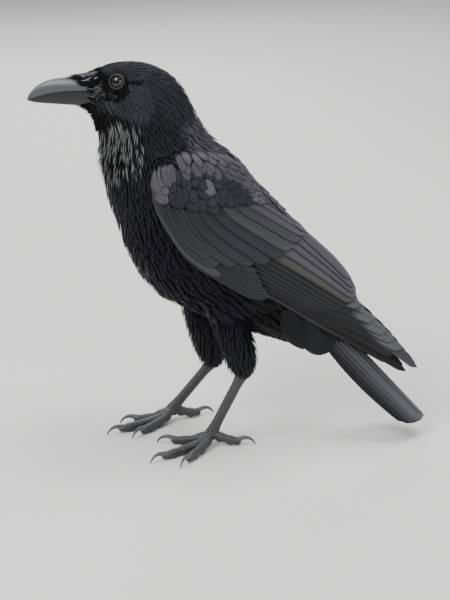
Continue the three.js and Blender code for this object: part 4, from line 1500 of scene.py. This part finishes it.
def legLook(node, maths):
    # plates lighter at their free edges, small scales between them
    scales = {"Scale": 750, "Vector": inObject(node)}
    cells = node("TexVoronoi", scales, feature="DISTANCE_TO_EDGE")["Distance"]
    place = mapped(node, "lines")
    side = maths("MULTIPLY", maths("ABSOLUTE", maths("SUBTRACT", place["X"], 0.5)), 2.0)
    top = maths("GREATER_THAN", maths("SMOOTH_MIN", side, 1.0, 0.1), 0.62)
    saw = maths("FRACT", maths("DIVIDE", maths("MULTIPLY", place["Y"], 10.0), leg["plate"]))
    plates = maths("MULTIPLY", maths("POWER", saw, 2.0), top)
    gain = maths("ADD", maths("MULTIPLY_ADD", plates, 1.2, 0.75),
                 maths("MULTIPLY", maths("MINIMUM", cells, 0.2), 1.2))
    return {"Base Color": scaled(node, tone(54, 55, 57), gain), "Roughness": 0.48,
            "Normal": bumped(node, cells, 0.5, 0.0004)}


def eyeLook(node, maths):
    return {"Base Color": shaded(node), "Roughness": 0.15, "Specular IOR Level": 0.25, "Coat Weight": 0.5,
            "Coat Roughness": 0.02}


def lidLook(node, maths):
    return {"Base Color": shaded(node), "Roughness": 0.7, "Specular IOR Level": 0.12,
            "Normal": bumped(node, grain(node, 1800), 0.5, 0.0003)}


def featherMaterial(name, kind):
    # shade from the piece's points; barbs and a paler or darker rim from its vane map
    def look(node, maths):
        place = mapped(node, "vane")
        across = maths("ABSOLUTE", maths("SUBTRACT", place["X"], 0.5))
        slant = maths("MULTIPLY_ADD", across, -kind["slant"], place["Y"])
        wave = maths("SINE", maths("MULTIPLY", slant, kind["barbs"] * 2 * math.pi))
        barbs = maths("MULTIPLY_ADD", wave, kind["barbDepth"], 1 - kind["barbDepth"])
        tip = maths("MULTIPLY_ADD", place["Y"], kind["long"], 0.5 - kind["long"])
        # a rim under 1 is darker: partly the feathers' own dark edges, partly painted shadow in the gaps
        # between overlapping feathers; over 1 it is a pale edge
        edge = node("MapRange", {"Value": maths("MAXIMUM", across, tip), "From Min": 0.5 - kind["edge"],
                                 "From Max": 0.5, "To Min": 1.0, "To Max": kind["edgeShade"]})["Result"]
        return {"Base Color": scaled(node, shaded(node), maths("MULTIPLY", barbs, edge)),
                "Roughness": kind["rough"], "Specular IOR Level": kind["gloss"], "Sheen Weight": 0.02,
                "Sheen Roughness": 0.4, "Sheen Tint": (0.62, 0.66, 1.0, 1),
                "Normal": bumped(node, wave, kind["bump"], 0.0003)}
    return makeMaterial(name, look)


coatKind = {"rough": 0.5, "gloss": 0.11, "slant": 0.35, "barbs": 9, "barbDepth": 0.06, "edge": 0.1,
            "edgeShade": 0.8, "long": 3, "bump": 0.2}
wingKind = {"rough": 0.42, "gloss": 0.2, "slant": 0.16, "barbs": 150, "barbDepth": 0.06, "edge": 0.05,
            "edgeShade": 0.15, "long": 9, "bump": 0.12}
tailCovertKind = coatKind | {"barbs": 60, "edge": 0.04, "edgeShade": 7.0, "long": 2}
covertKind = wingKind | {"barbs": 26, "slant": 0.4, "edge": 0.06, "edgeShade": 0.3, "long": 1.6}
coatMaterial = featherMaterial("body plumage", coatKind)
wingMaterial = featherMaterial("flight feathers", wingKind)
tailCovertMaterial = featherMaterial("tail coverts", tailCovertKind)
covertMaterial = featherMaterial("wing coverts", covertKind)
skinMaterial = makeMaterial("skin under the coat", skinLook)
hornMaterial = makeMaterial("bill horn", hornLook)
clawMaterial = makeMaterial("claw horn", clawLook)
legMaterial = makeMaterial("leg skin", legLook)
eyeMaterial = makeMaterial("eye", eyeLook)
lidMaterial = makeMaterial("eyelid skin", lidLook)

finishPiece("body_skin", skinMesh, skinMaterial, "plumage", *skin["nodes"])
print("growing the coat")
growBodyCoat()
growTailCoverts()
print("laying the wings and the tail")
growWing("left")
growWing("right")
growTail()
print("making the bill and the eyes")
makeBill("bill_upper", True)
makeBill("bill_lower", False)
makeEye("left", 1)
makeEye("right", -1)
print("growing the bristles and the neck's long feathers")
growBristles()
growFaceFeathers()
growHackles()
growCape()
print("making the legs")
for legName, legPlan in legs.items():
    makeLeg(legName, legPlan)

# Setting: pale floor, soft lamps, and the camera to the bird's left, a little above it
view = {"target": (0, 0, 124.1), "distance": 1.72, "elevation": 20, "lens": 120, "clipStart": 0.05}
floorLook = {"Base Color": (0.72, 0.71, 0.69, 1), "Roughness": 0.8}
sky = {"Color": (0.86, 0.88, 0.92, 1), "Strength": 0.45}
lamps = {  # place, size and power
    "key": ((0.9, -0.9, 1.5), 0.9, 32),
    "top": ((-0.2, 0.5, 1.7), 1.2, 26),
    "fill": ((1.6, 1.0, 0.7), 1.4, 14),
    "back": ((-1.4, -0.3, 0.9), 1.2, 14),
}
target = Vector(toFrame(view["target"]))


def aimed(name, data, place):
    # a lamp or camera that looks at the middle of the bird
    holder = linked(name, data)
    holder.location = place
    holder.rotation_euler = (target - Vector(place)).to_track_quat("-Z", "Y").to_euler()
    return holder


def makeSetting():
    bm = bmesh.new()
    bmesh.ops.create_grid(bm, x_segments=1, y_segments=1, size=6)
    ground = linked("floor", meshFrom(bm))
    ground.data.materials.append(makeMaterial("pale floor", lambda node, maths: floorLook))
    for name, (place, size, power) in lamps.items():
        lamp = bpy.data.lights.new(name, "AREA")
        lamp.size = size
        lamp.energy = power
        aimed(name, lamp, place)
    world = bpy.data.worlds.new("studio")
    world.use_nodes = True
    for key, value in sky.items():
        world.node_tree.nodes["Background"].inputs[key].default_value = value
    bpy.context.scene.world = world


def makeCamera():
    camera = bpy.data.cameras.new("camera")
    camera.lens = view["lens"]
    camera.clip_start = view["clipStart"]
    slope = math.radians(view["elevation"])
    reach = Vector((math.cos(slope), 0, math.sin(slope))) * view["distance"]
    bpy.context.scene.camera = aimed("camera", camera, target + reach)


print("making the setting")
makeSetting()
makeCamera()
